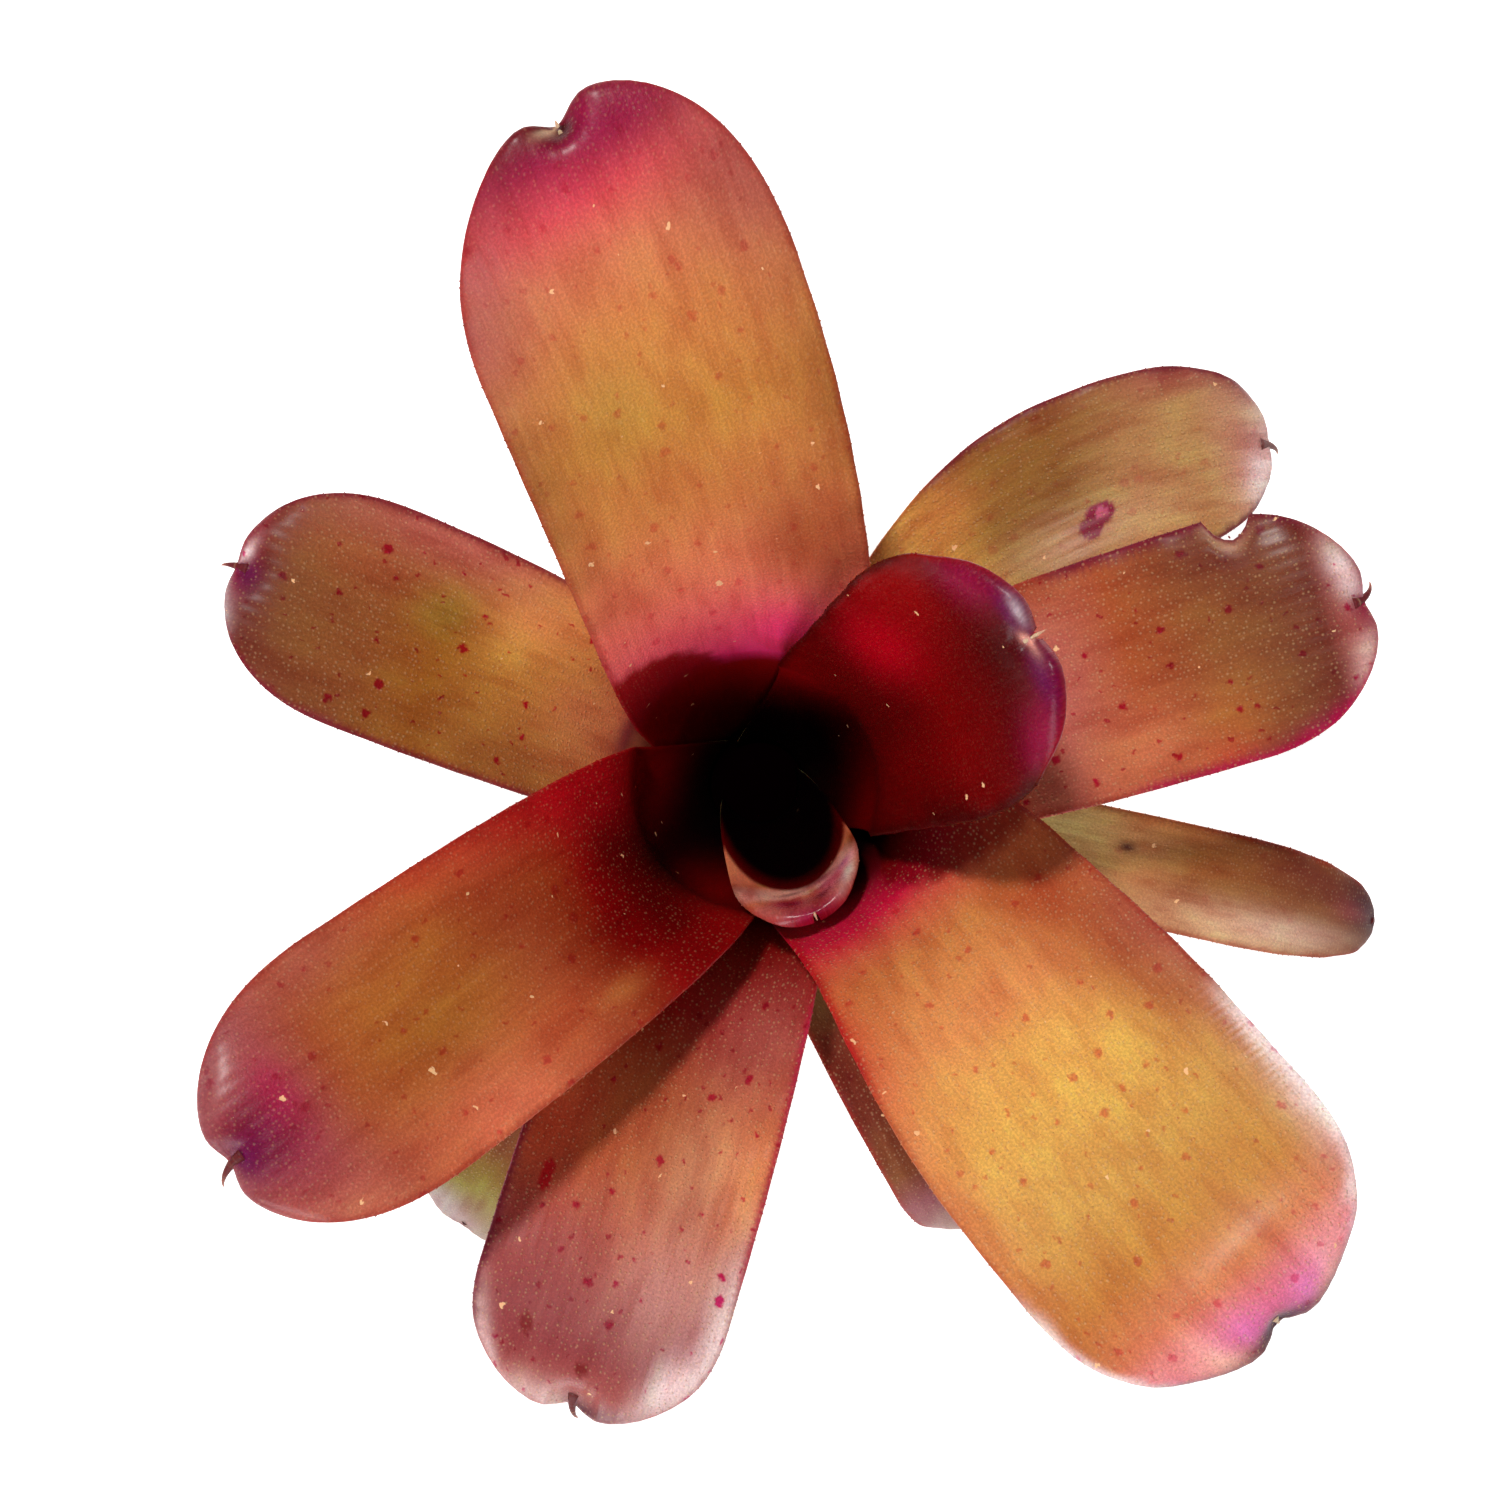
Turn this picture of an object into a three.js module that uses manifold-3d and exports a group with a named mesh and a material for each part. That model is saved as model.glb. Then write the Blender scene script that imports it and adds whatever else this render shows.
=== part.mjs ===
// A small neoregelia bromeliad, lifted from its pot: twelve strap leaves whose
// sheaths wrap round each other into a water-holding urn, on a short cut stem.
// Millimetres and degrees. +Z is up, and the origin is in the middle of the
// stem's cut underside, which is the flat spot that the plant stands on.

import * as THREE from "three";
import { mergeVertices } from "three/addons/utils/BufferGeometryUtils.js";
import Module from "manifold-3d";

const wasm = await Module();
wasm.setup();

// ---- driving dimensions ------------------------------------------------------

const WALL = 0.8; // thickness of a leaf
const SHEATH_STEP = 1.25; // radius added by each older sheath: its wall and a gap
const FOOT_GAP = 0.35; // clearance between a sheath's foot and the stem
const WRAP = 92; // half of the turn that a sheath takes round the stem at its foot

// The urn's inside radii at its neck and mouth, and the heights of both.
const URN = { neck: 3, mouth: 14, low: 4, high: 40 };

// Height of the youngest sheath's foot, and the step down to each older one.
const FOOT = { top: 15, drop: 1 };

// The stem: radius of the flat cut, rows of its round edge, sides, and height of its tip.
const STEM = { cut: 12, rows: 4, sides: 28, tip: 0.6 };

const BEND = 8; // length over which a blade turns out of its upright sheath
const UNROLL = 13; // length over which it opens from the urn's round section
const TURN_BY = 0.3; // part of the blade by which it has turned to its own heading
const OPEN_FROM = 0.2; // part of the blade from which its channel flattens
const CURL_FROM = 0.82; // part of the blade after which its end curls down
const SLANT_FROM = 0.5; // part of the blade after which one side runs ahead
const ROUND = 2.2; // how square the round end is: 2 is an ellipse
const BLUNT = 0.995; // part of the round end at which it is cut off under the spine
const PINCH = { along: 3.2, across: 2.6 }; // reach of the notch and dip at the tip

// The spine at the tip, a tooth of the margin, and an insect's bite centred on a margin.
const SPINE = { length: 4.2, root: 0.62, point: 0.14, sunk: 1.4, sides: 5, curl: 55 };
const SPINE_RINGS = [0, 0.4, 0.7, 1];
const TOOTH = 0.55;
const BITE = { long: 5.2, deep: 5.6, high: 6.4, sides: 9 };

// Faces along the sheath, the straight part and the round end, and across the leaf.
const GRID = { sheath: 5, blade: 10, cap: 6, across: 10 };
const MIDRIB_STEPS = 160;

// What a leaf has unless it says otherwise.
//   turn, swing     how far it turns sideways near its base, and on its whole way
//   peak            part of the blade at which it is widest
//   channel, lip    turn of its section across, in mid-blade and at the tip
//   hem, curl       how far its margins bend down, and how far its end curls down
//   slant           how far the right side runs ahead of the left at the tip
const USUAL = { turn: 0, swing: 0, peak: 0.6, channel: 40, lip: -15, hem: 0.6, curl: 20, slant: 0 };

// The leaves, from the youngest in the heart to the oldest outside.
//   azimuth         which way it leaves the urn
//   shoulder        height where the blade starts
//   rise, fall      slope of the blade at its start and at its tip
//   blade, cap      length of the blade, and of its round end
//   width, neck     widest width, and the width at the shoulder
//   notch, dip      how far the tip is drawn back, and down, at the midrib
//   spine           size of its tip spine, as part of a full one
const LEAVES = {
  leaf_01_heart: {
    azimuth: -67, shoulder: 34, rise: 86, fall: 74, blade: 15.5, cap: 9, width: 18.5, neck: 18,
    peak: 0.5, channel: 150, lip: 90, hem: 1.8, curl: 50, notch: 0.4, dip: 0.3, spine: 0.25,
  },
  leaf_02_inner_right: {
    azimuth: 28.5, shoulder: 44, rise: 76, fall: 66, blade: 56, cap: 22, width: 32.5, neck: 28,
    peak: 0.8, channel: 100, lip: 45, hem: 1.4, curl: 25, notch: 2.4, dip: 1.8, spine: 0.4,
  },
  leaf_03_lower_left: {
    azimuth: 215.5, shoulder: 40, rise: 55, fall: 22, blade: 76, cap: 22, width: 31, neck: 30,
    peak: 0.5, channel: 50, lip: -10, hem: 0.8, notch: 1.2, dip: 1.6, spine: 1,
  },
  leaf_04_top: {
    azimuth: 99, shoulder: 38, rise: 60, fall: 30, blade: 84.5, cap: 26, width: 37, neck: 34.5,
    turn: 5, swing: 10.5, lip: -20, curl: 25, slant: 2.5, notch: 2.2, dip: 2.4, spine: 0.4,
  },
  leaf_05_lower_right: {
    azimuth: -34, shoulder: 37, rise: 54, fall: 20, blade: 87, cap: 22, width: 39.5, neck: 32,
    turn: -22, swing: 8, lip: -25, curl: 55, notch: 1.2, dip: 1.6, spine: 0.6,
  },
  leaf_06_upper_left: {
    azimuth: 156, shoulder: 31, rise: 44, fall: 12, blade: 60.2, cap: 18, width: 27.6, neck: 26,
    swing: 3, lip: -10, notch: 0.5, dip: 1.2, spine: 0.8,
  },
  leaf_07_bottom: {
    azimuth: 253, shoulder: 29, rise: 38, fall: 4, blade: 69.5, cap: 15, width: 31, neck: 30,
    notch: 1.4, dip: 1.4, spine: 1,
  },
  leaf_08_right: {
    azimuth: 17, shoulder: 28, rise: 42, fall: 10, blade: 67, cap: 18, width: 29.3, neck: 28,
    peak: 0.5, notch: 0.8, dip: 1.4, spine: 0.9, bite: 0.79,
  },
  leaf_09_upper_right: {
    azimuth: 51, shoulder: 21, rise: 26, fall: -8, blade: 70, cap: 18, width: 24, neck: 11.5,
    swing: -42, channel: 50, lip: 10, notch: 0.2, dip: 0.8, spine: 0.9,
  },
  leaf_10_low_left: {
    azimuth: 236, shoulder: 18, rise: 10, fall: -51, blade: 67.5, cap: 14, width: 22, neck: 20,
    peak: 0.5, lip: 0, curl: 0, notch: 0.2, dip: 0.8, spine: 0.5,
  },
  leaf_11_low_front: {
    azimuth: -61.5, shoulder: 17, rise: 10, fall: -54, blade: 60.5, cap: 14, width: 21, neck: 20,
    peak: 0.5, lip: 0, curl: 0, notch: 0.2, dip: 0.8, spine: 0.5,
  },
  leaf_12_low_right: {
    azimuth: -12.5, shoulder: 16, rise: 12, fall: -42, blade: 79, cap: 30, width: 15, neck: 14,
    peak: 0.5, channel: 60, lip: 30, curl: 8, slant: 2, notch: 0, dip: 0.6, spine: 0.6,
  },
};

// Colour of the stem, and of the leaves up to each age, counted from the youngest.
const STEM_COLOUR = 0x6b4a2c;
const LEAF_COLOURS = [
  { upTo: 0, colour: 0x6a1030 },
  { upTo: 1, colour: 0x8a0f1e },
  { upTo: 4, colour: 0xb9683c },
  { upTo: 7, colour: 0xa86a45 },
  { upTo: 11, colour: 0x8f7a45 },
];

// ---- small helpers -----------------------------------------------------------

const rad = THREE.MathUtils.degToRad;
const mix = THREE.MathUtils.lerp;
const smooth = THREE.MathUtils.smoothstep;
const fade = (distance, reach) => Math.exp(-((distance / reach) ** 2));

function finish(color, roughness) {
  return new THREE.MeshStandardMaterial({ color, roughness, metalness: 0 });
}

// The closed solid that manifold-3d joins and cuts, from a closed three.js geometry.
function toSolid(geometry) {
  const bare = geometry.clone();
  bare.deleteAttribute("normal");
  bare.deleteAttribute("uv");
  const merged = mergeVertices(bare, 1e-4);
  return new wasm.Manifold(
    new wasm.Mesh({
      numProp: 3,
      vertProperties: new Float32Array(merged.attributes.position.array),
      triVerts: new Uint32Array(merged.index.array),
    }),
  );
}

function toGeometry(solid) {
  const { vertProperties, triVerts } = solid.getMesh();
  const geometry = new THREE.BufferGeometry();
  geometry.setAttribute("position", new THREE.BufferAttribute(vertProperties, 3));
  geometry.setIndex(new THREE.BufferAttribute(triVerts, 1));
  geometry.computeVertexNormals();
  return geometry;
}

function solidFrom(points, faces) {
  const geometry = new THREE.BufferGeometry().setFromPoints(points);
  geometry.setIndex(faces.flat());
  return toSolid(geometry);
}

// ---- the urn -----------------------------------------------------------------

// Radius of a sheath's middle surface at a height: all sheaths are nested turns of one urn.
function sheathRadius(layer, z) {
  return mix(URN.neck, URN.mouth, smooth(z, URN.low, URN.high)) + SHEATH_STEP * layer;
}

function footHeight(layer) {
  return FOOT.top - FOOT.drop * layer;
}

// ---- one leaf's surface ------------------------------------------------------

// The blade's midrib: it leaves the sheath upright, bends over to the slope rise, and goes
// on to the slope fall. Gives the point, heading and slope at a length u from the shoulder.
function bladeMidrib(leaf, layer) {
  const step = leaf.blade / MIDRIB_STEPS;
  const start = sheathRadius(layer, leaf.shoulder);
  const flare = (sheathRadius(layer, leaf.shoulder + 1) - sheathRadius(layer, leaf.shoulder - 1)) / 2;
  const upright = Math.atan2(1, flare);
  const way = rad(leaf.azimuth);
  const at = new THREE.Vector3(start * Math.cos(way), start * Math.sin(way), leaf.shoulder);
  const stations = [];
  for (let i = 0; i <= MIDRIB_STEPS; i++) {
    const part = i / MIDRIB_STEPS;
    const arch = rad(mix(leaf.rise, leaf.fall, part) - leaf.curl * smooth(part, CURL_FROM, 1));
    const slope = arch + (upright - arch) * Math.exp((-i * step) / BEND);
    const sideways = leaf.turn * smooth(part, 0, TURN_BY) + leaf.swing * smooth(part, 0, 1);
    const heading = rad(leaf.azimuth + sideways);
    stations.push({ at: at.clone(), heading, slope });
    at.x += step * Math.cos(slope) * Math.cos(heading);
    at.y += step * Math.cos(slope) * Math.sin(heading);
    at.z += step * Math.sin(slope);
  }
  return (u) => stations[Math.round(THREE.MathUtils.clamp(u / step, 0, MIDRIB_STEPS))];
}

// Half of the blade's width at a length u: it widens from its neck, then closes in a round end.
function halfWidth(leaf, u) {
  const widening = smooth(u / leaf.blade, 0, leaf.peak);
  const intoCap = Math.max(0, (u - (leaf.blade - leaf.cap)) / leaf.cap);
  return (mix(leaf.neck, leaf.width, widening) / 2) * (1 - intoCap ** ROUND) ** (1 / ROUND);
}

// A point of the sheath's middle surface, at a height z: a turn of the urn, wide round the
// stem and no wider than the blade's neck at the shoulder.
function sheathPoint(leaf, layer, z, t) {
  const foot = footHeight(layer);
  const widest = rad(WRAP) * sheathRadius(layer, foot);
  const half = mix(widest, leaf.neck / 2, smooth(z, foot, leaf.shoulder));
  const r = sheathRadius(layer, z);
  const turn = rad(leaf.azimuth) + (t * half) / r;
  return new THREE.Vector3(r * Math.cos(turn), r * Math.sin(turn), z);
}

// A point of the blade's middle surface. Its section starts as the urn's own arc and opens
// into a shallow channel; the margins hem down, and the tip is pinched in at the midrib.
function bladePoint(leaf, layer, midrib, u, t) {
  const { at, heading, slope } = midrib(u);
  const part = u / leaf.blade;
  const opened = 1 - fade(u, UNROLL);
  const channel = mix(leaf.channel, leaf.lip, smooth(part, OPEN_FROM, 1));
  const bend = mix(1 / sheathRadius(layer, leaf.shoulder), rad(channel) / leaf.width, opened) + 1e-6;
  const arc = t * halfWidth(leaf, u);
  const tilt = mix(Math.PI / 2, slope, opened);
  const forward = new THREE.Vector3(Math.cos(heading), Math.sin(heading), 0);
  const side = new THREE.Vector3(-Math.sin(heading), Math.cos(heading), 0);
  const ahead = forward.clone().multiplyScalar(Math.cos(slope)).setZ(Math.sin(slope));
  const normal = forward.clone().multiplyScalar(-Math.sin(tilt)).setZ(Math.cos(tilt));
  const pinch = fade(leaf.blade - u, PINCH.along) * fade(arc, PINCH.across);
  const slant = -leaf.slant * smooth(part, SLANT_FROM, 1) * (arc / (leaf.width / 2));
  const lift = (1 - Math.cos(bend * arc)) / bend - leaf.hem * opened * t ** 6 - leaf.dip * pinch;
  return at
    .clone()
    .addScaledVector(side, Math.sin(bend * arc) / bend)
    .addScaledVector(normal, lift)
    .addScaledVector(ahead, slant - leaf.notch * pinch);
}

// The whole middle surface: u is the length from the shoulder, negative down in the sheath,
// and t goes from -1 at the right margin to 1 at the left.
function leafSurface(leaf, layer) {
  const midrib = bladeMidrib(leaf, layer);
  return (u, t) =>
    u < 0 ? sheathPoint(leaf, layer, leaf.shoulder + u, t) : bladePoint(leaf, layer, midrib, u, t);
}

// Lengths u at which the leaf has a row of points: even in the sheath and the blade, and
// closer and closer in the round end, where the outline turns fastest.
function rowsAlong(leaf, layer) {
  const height = leaf.shoulder - footHeight(layer);
  const straight = leaf.blade - leaf.cap;
  const rows = [];
  for (let i = 0; i < GRID.sheath; i++) rows.push(-height * (1 - i / GRID.sheath));
  for (let i = 0; i < GRID.blade; i++) rows.push((straight * i) / GRID.blade);
  for (let i = 0; i <= GRID.cap; i++) {
    const intoCap = 1 - (1 - i / GRID.cap) ** 2;
    rows.push(straight + leaf.cap * Math.min(intoCap, BLUNT));
  }
  return rows;
}

// ---- one leaf's solid --------------------------------------------------------

// Two sheets of points, half a wall above and below the grid of middle points.
function sheetsEitherSide(middle) {
  const last = middle.length - 1;
  const end = GRID.across;
  const sheets = [[], []];
  for (let i = 0; i <= last; i++) {
    for (let j = 0; j <= end; j++) {
      const along = middle[Math.min(i + 1, last)][j].clone().sub(middle[Math.max(i - 1, 0)][j]);
      const side = middle[i][Math.min(j + 1, end)].clone().sub(middle[i][Math.max(j - 1, 0)]);
      const normal = along.cross(side).normalize();
      sheets[0].push(middle[i][j].clone().addScaledVector(normal, WALL / 2));
      sheets[1].push(middle[i][j].clone().addScaledVector(normal, -WALL / 2));
    }
  }
  return sheets;
}

// The leaf as one closed shell: both sheets, split alike into triangles, and a rim that is
// drawn out into a tooth at each face of the blade's two margins.
function leafShell(leaf, surface, rows) {
  const last = rows.length - 1;
  const end = GRID.across;
  const middle = rows.map((u) =>
    Array.from({ length: end + 1 }, (_, j) => surface(u, -1 + (2 * j) / end)),
  );
  const [upper, lower] = sheetsEitherSide(middle);
  const points = [...upper, ...lower];
  const below = upper.length;
  const id = (i, j) => i * (end + 1) + j;
  const faces = [];
  for (let i = 0; i < last; i++) {
    for (let j = 0; j < end; j++) {
      const [a, b, c, d] = [id(i, j), id(i, j + 1), id(i + 1, j + 1), id(i + 1, j)];
      const halves = j < end / 2 ? [[a, d, b], [b, d, c]] : [[a, c, b], [a, d, c]];
      for (const [p, q, r] of halves) faces.push([p, q, r], [p + below, r + below, q + below]);
    }
  }
  // The rim between upper points a and b and the lower points under them.
  const rim = (a, b) => faces.push([a, b + below, b], [a, a + below, b + below]);
  const toothedRim = (a, b, inner) => {
    const corners = [a, b, a + below, b + below];
    const root = corners.reduce((sum, k) => sum.addScaledVector(points[k], 0.25), new THREE.Vector3());
    const outward = points[a].clone().sub(points[inner]).normalize();
    const peak = points.push(root.addScaledVector(outward, TOOTH)) - 1;
    faces.push([a, a + below, peak], [a + below, b + below, peak]);
    faces.push([b + below, b, peak], [b, a, peak]);
  };
  for (let i = 0; i < last; i++) {
    const margin = rows[i] < 0 ? rim : toothedRim;
    margin(id(i, 0), id(i + 1, 0), id(i, 1));
    margin(id(i + 1, end), id(i, end), id(i + 1, end - 1));
  }
  for (let j = 0; j < end; j++) {
    rim(id(0, j + 1), id(0, j));
    rim(id(last, j), id(last, j + 1));
  }
  return solidFrom(points, faces);
}

// The tip's spine: a thin cone that starts inside the blade and curls down past its end.
function tipSpine(leaf, surface, end) {
  const n = SPINE.sides;
  const length = SPINE.length * leaf.spine + SPINE.sunk;
  const tip = surface(end, 0);
  const ahead = tip.clone().sub(surface(end - 1, 0)).normalize();
  const side = surface(end, 0.5).sub(surface(end, -0.5)).normalize();
  const at = tip.clone().addScaledVector(ahead, -SPINE.sunk);
  const points = [];
  SPINE_RINGS.forEach((part, ring) => {
    const way = ahead.clone().applyAxisAngle(side, rad(SPINE.curl) * part ** 2);
    const over = way.clone().cross(side).normalize();
    const radius = mix(SPINE.root, SPINE.point, part);
    at.addScaledVector(way, ring ? (part - SPINE_RINGS[ring - 1]) * length : 0);
    for (let k = 0; k < n; k++) {
      const turn = (2 * Math.PI * k) / n;
      const across = side.clone().multiplyScalar(radius * Math.cos(turn));
      points.push(across.addScaledVector(over, radius * Math.sin(turn)).add(at));
    }
  });
  const faces = [];
  const top = points.length - n;
  for (let ring = 0; ring < top; ring += n) {
    for (let k = 0; k < n; k++) {
      const next = (k + 1) % n;
      faces.push([ring + k, ring + next, ring + n + next]);
      faces.push([ring + k, ring + n + next, ring + n + k]);
    }
  }
  for (let k = 1; k < n - 1; k++) faces.push([0, k + 1, k], [top, top + k, top + k + 1]);
  return solidFrom(points, faces);
}

// The lump that an insect has eaten out of the left margin.
function biteCutter(leaf, surface) {
  const u = leaf.bite * leaf.blade;
  const edge = surface(u, 1);
  const ahead = surface(u + 1, 1).sub(edge).normalize();
  const inward = surface(u, 0.9).sub(edge).normalize();
  const upward = inward.clone().cross(ahead).normalize();
  const lump = new THREE.CylinderGeometry(0.5, 0.5, BITE.high, BITE.sides);
  lump.scale(BITE.long, 1, BITE.deep);
  const across = ahead.clone().cross(upward);
  lump.applyMatrix4(new THREE.Matrix4().makeBasis(ahead, upward, across).setPosition(edge));
  return toSolid(lump);
}

function makeLeaf(name, layer) {
  const leaf = { ...USUAL, ...LEAVES[name] };
  const surface = leafSurface(leaf, layer);
  const rows = rowsAlong(leaf, layer);
  const spined = leafShell(leaf, surface, rows).add(tipSpine(leaf, surface, rows.at(-1)));
  const whole = leaf.bite ? spined.subtract(biteCutter(leaf, surface)) : spined;
  const { colour } = LEAF_COLOURS.find(({ upTo }) => layer <= upTo);
  const mesh = new THREE.Mesh(toGeometry(whole), finish(colour, 0.45));
  mesh.name = name;
  return mesh;
}

// ---- the stem ----------------------------------------------------------------

// A stub with a flat cut underside, a round edge, and a domed upper side that runs just
// under the feet of the nested sheaths.
function makeStem(layers) {
  const oldest = layers - 1;
  const widest = sheathRadius(oldest, footHeight(oldest)) + WALL;
  const edge = footHeight(oldest) - FOOT_GAP;
  const profile = [new THREE.Vector2(0, 0)];
  for (let i = 0; i <= STEM.rows; i++) {
    const turn = (Math.PI / 2) * (i / STEM.rows);
    const r = mix(STEM.cut, widest, Math.sin(turn));
    profile.push(new THREE.Vector2(r, edge * (1 - Math.cos(turn))));
  }
  for (let layer = oldest; layer >= 0; layer--) {
    const z = footHeight(layer);
    profile.push(new THREE.Vector2(sheathRadius(layer, z) - WALL / 2, z - FOOT_GAP));
  }
  profile.push(new THREE.Vector2(0, footHeight(0) + STEM.tip));
  const turned = new THREE.LatheGeometry(profile, STEM.sides).rotateX(Math.PI / 2);
  const mesh = new THREE.Mesh(turned, finish(STEM_COLOUR, 0.85));
  mesh.name = "stem";
  return mesh;
}

// ---- the plant ---------------------------------------------------------------

const plant = new THREE.Group();
const names = Object.keys(LEAVES);
plant.add(makeStem(names.length));
names.forEach((name, layer) => plant.add(makeLeaf(name, layer)));

export default plant;
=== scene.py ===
# %% [markdown]
# # A small neoregelia bromeliad, dressed in Blender
# The plant is a rosette of twelve strap leaves. Their lower parts, the sheaths, wrap round
# each other into an upright urn that holds water, and the blades lean out of it. The CAD
# model gives each leaf's place and form. Here every leaf is worked out again from the same
# few numbers on a much finer grid, and then gets its teeth, spine, veins, scurf and colours.

import bpy
import numpy as np
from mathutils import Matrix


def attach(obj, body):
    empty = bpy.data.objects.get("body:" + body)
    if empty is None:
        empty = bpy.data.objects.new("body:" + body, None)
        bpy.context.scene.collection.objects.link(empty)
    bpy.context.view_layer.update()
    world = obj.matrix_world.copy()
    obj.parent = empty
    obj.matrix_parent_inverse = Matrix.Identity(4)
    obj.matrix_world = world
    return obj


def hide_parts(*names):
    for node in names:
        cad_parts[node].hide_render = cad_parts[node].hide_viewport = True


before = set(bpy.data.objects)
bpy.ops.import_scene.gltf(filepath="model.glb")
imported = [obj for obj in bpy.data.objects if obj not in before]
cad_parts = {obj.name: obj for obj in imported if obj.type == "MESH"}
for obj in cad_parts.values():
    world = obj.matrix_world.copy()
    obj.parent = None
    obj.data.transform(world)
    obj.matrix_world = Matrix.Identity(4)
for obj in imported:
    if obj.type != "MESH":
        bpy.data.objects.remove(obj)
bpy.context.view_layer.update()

MM = 0.001  # the leaf numbers below are millimetres, and Blender's unit is the metre
print("nodes in the frame:", len(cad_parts))

# %% [markdown]
# ## Small helpers
# A leaf's shape is a chain of soft steps and soft humps: a width that swells, a slope that
# eases over, a dent that fades out. Two functions cover them all. They take whole arrays,
# so no loop over vertices is needed anywhere.


# %% Steps and humps
def mix(a, b, part):
    """Goes from a to b in a straight line as part goes from 0 to 1."""
    return a + (b - a) * part


def smooth(x, low, high):
    """A soft step: with s = (x - low) / (high - low), held to 0..1, it is 3 s^2 - 2 s^3."""
    s = np.clip((x - low) / (high - low), 0.0, 1.0)
    return s * s * (3.0 - 2.0 * s)


def fade(distance, reach):
    """A soft hump: e to the power -(distance / reach)^2, 1 in the middle and 0 far away."""
    return np.exp(-((distance / reach) ** 2))


print("half way up a soft step:", smooth(0.5, 0, 1))

# %% [markdown]
# ## The urn
# All sheaths are nested turns of one urn. Its radius grows in a soft step from the neck, on
# the stem, to the mouth, and each older leaf lies one sheath further out. A lathe shape in
# the CAD sense, but every leaf covers only a part of the turn, so it is kept as a formula.

# %% The urn's profile
WALL = 0.8  # thickness of a leaf in its middle
SHEATH_STEP = 1.25  # radius that each older sheath adds
WRAP = 92  # degrees that a sheath reaches to either side at its foot
URN = {"neck": 3, "mouth": 14, "low": 4, "high": 40}
FOOT = {"top": 15, "drop": 1}


def sheath_radius(layer, z):
    """Radius at height z: the neck's, eased to the mouth's, plus a step for each layer."""
    grown = smooth(z, URN["low"], URN["high"])
    return mix(URN["neck"], URN["mouth"], grown) + SHEATH_STEP * layer


def foot_height(layer):
    """Height of a sheath's foot: each older leaf starts a step lower on the stem."""
    return FOOT["top"] - FOOT["drop"] * layer


print("urn mouth, inside and outside, mm:", sheath_radius(0, 40), sheath_radius(11, 40))

# %% [markdown]
# ## The leaves' numbers
# One row of numbers drives each leaf: which way it leaves the urn, how high, how it arches,
# and how long and wide it is. They are the CAD model's own driving dimensions, because a
# finer leaf has to sit exactly where the solid leaf sits.

# %% The table of leaves
BEND = 8  # length over which a blade turns out of its upright sheath
UNROLL = 13  # length over which it opens from the urn's round section
TURN_BY = 0.3  # part of the blade by which it has turned to its own heading
OPEN_FROM = 0.2  # part of the blade from which its channel flattens
CURL_FROM = 0.82  # part of the blade after which its end curls down
SLANT_FROM = 0.5  # part of the blade after which one side runs ahead
ROUND = 2.2  # how square the round end is: 2 is an ellipse
PINCH = {"along": 3.2, "across": 2.6}  # reach of the notch and dip at the tip
BITE = {"long": 5.2, "deep": 2.8}  # an insect's bite out of a margin
MIDRIB_STEPS = 160

# turn, swing: how far it turns sideways near its base, and on its whole way
# peak: part of the blade at which it is widest
# channel, lip: turn of its section across, in mid-blade and at the tip
# hem, curl: how far its margins bend down, and how far its end curls down
# slant: how far the right side runs ahead of the left at the tip
USUAL = {
    "turn": 0, "swing": 0, "peak": 0.6, "channel": 40, "lip": -15,
    "hem": 0.6, "curl": 20, "slant": 0, "bite": 0,
}

# azimuth, shoulder: direction and height at which the blade leaves the urn
# rise, fall: slope of the blade at its start and at its tip
# blade, cap, width, neck: its length, its round end, its widest width and its first width
# notch, dip, spine: how far the tip is drawn back and down, and the size of its spine
COLUMNS = (
    "azimuth", "shoulder", "rise", "fall", "blade", "cap", "width", "neck",
    "notch", "dip", "spine",
)
ROWS = {
    "leaf_01_heart": (-67, 34, 86, 74, 15.5, 9, 18.5, 18, 0.4, 0.3, 0.25),
    "leaf_02_inner_right": (28.5, 44, 76, 66, 56, 22, 32.5, 28, 2.4, 1.8, 0.4),
    "leaf_03_lower_left": (215.5, 40, 55, 22, 76, 22, 31, 30, 1.2, 1.6, 1),
    "leaf_04_top": (99, 38, 60, 30, 84.5, 26, 37, 34.5, 2.2, 2.4, 0.4),
    "leaf_05_lower_right": (-34, 37, 54, 20, 87, 22, 39.5, 32, 1.2, 1.6, 0.6),
    "leaf_06_upper_left": (156, 31, 44, 12, 60.2, 18, 27.6, 26, 0.5, 1.2, 0.8),
    "leaf_07_bottom": (253, 29, 38, 4, 69.5, 15, 31, 30, 1.4, 1.4, 1),
    "leaf_08_right": (17, 28, 42, 10, 67, 18, 29.3, 28, 0.8, 1.4, 0.9),
    "leaf_09_upper_right": (51, 21, 26, -8, 70, 18, 24, 11.5, 0.2, 0.8, 0.9),
    "leaf_10_low_left": (236, 18, 10, -51, 67.5, 14, 22, 20, 0.2, 0.8, 0.5),
    "leaf_11_low_front": (-61.5, 17, 10, -54, 60.5, 14, 21, 20, 0.2, 0.8, 0.5),
    "leaf_12_low_right": (-12.5, 16, 12, -42, 79, 30, 15, 14, 0, 0.6, 0.6),
}
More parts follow.
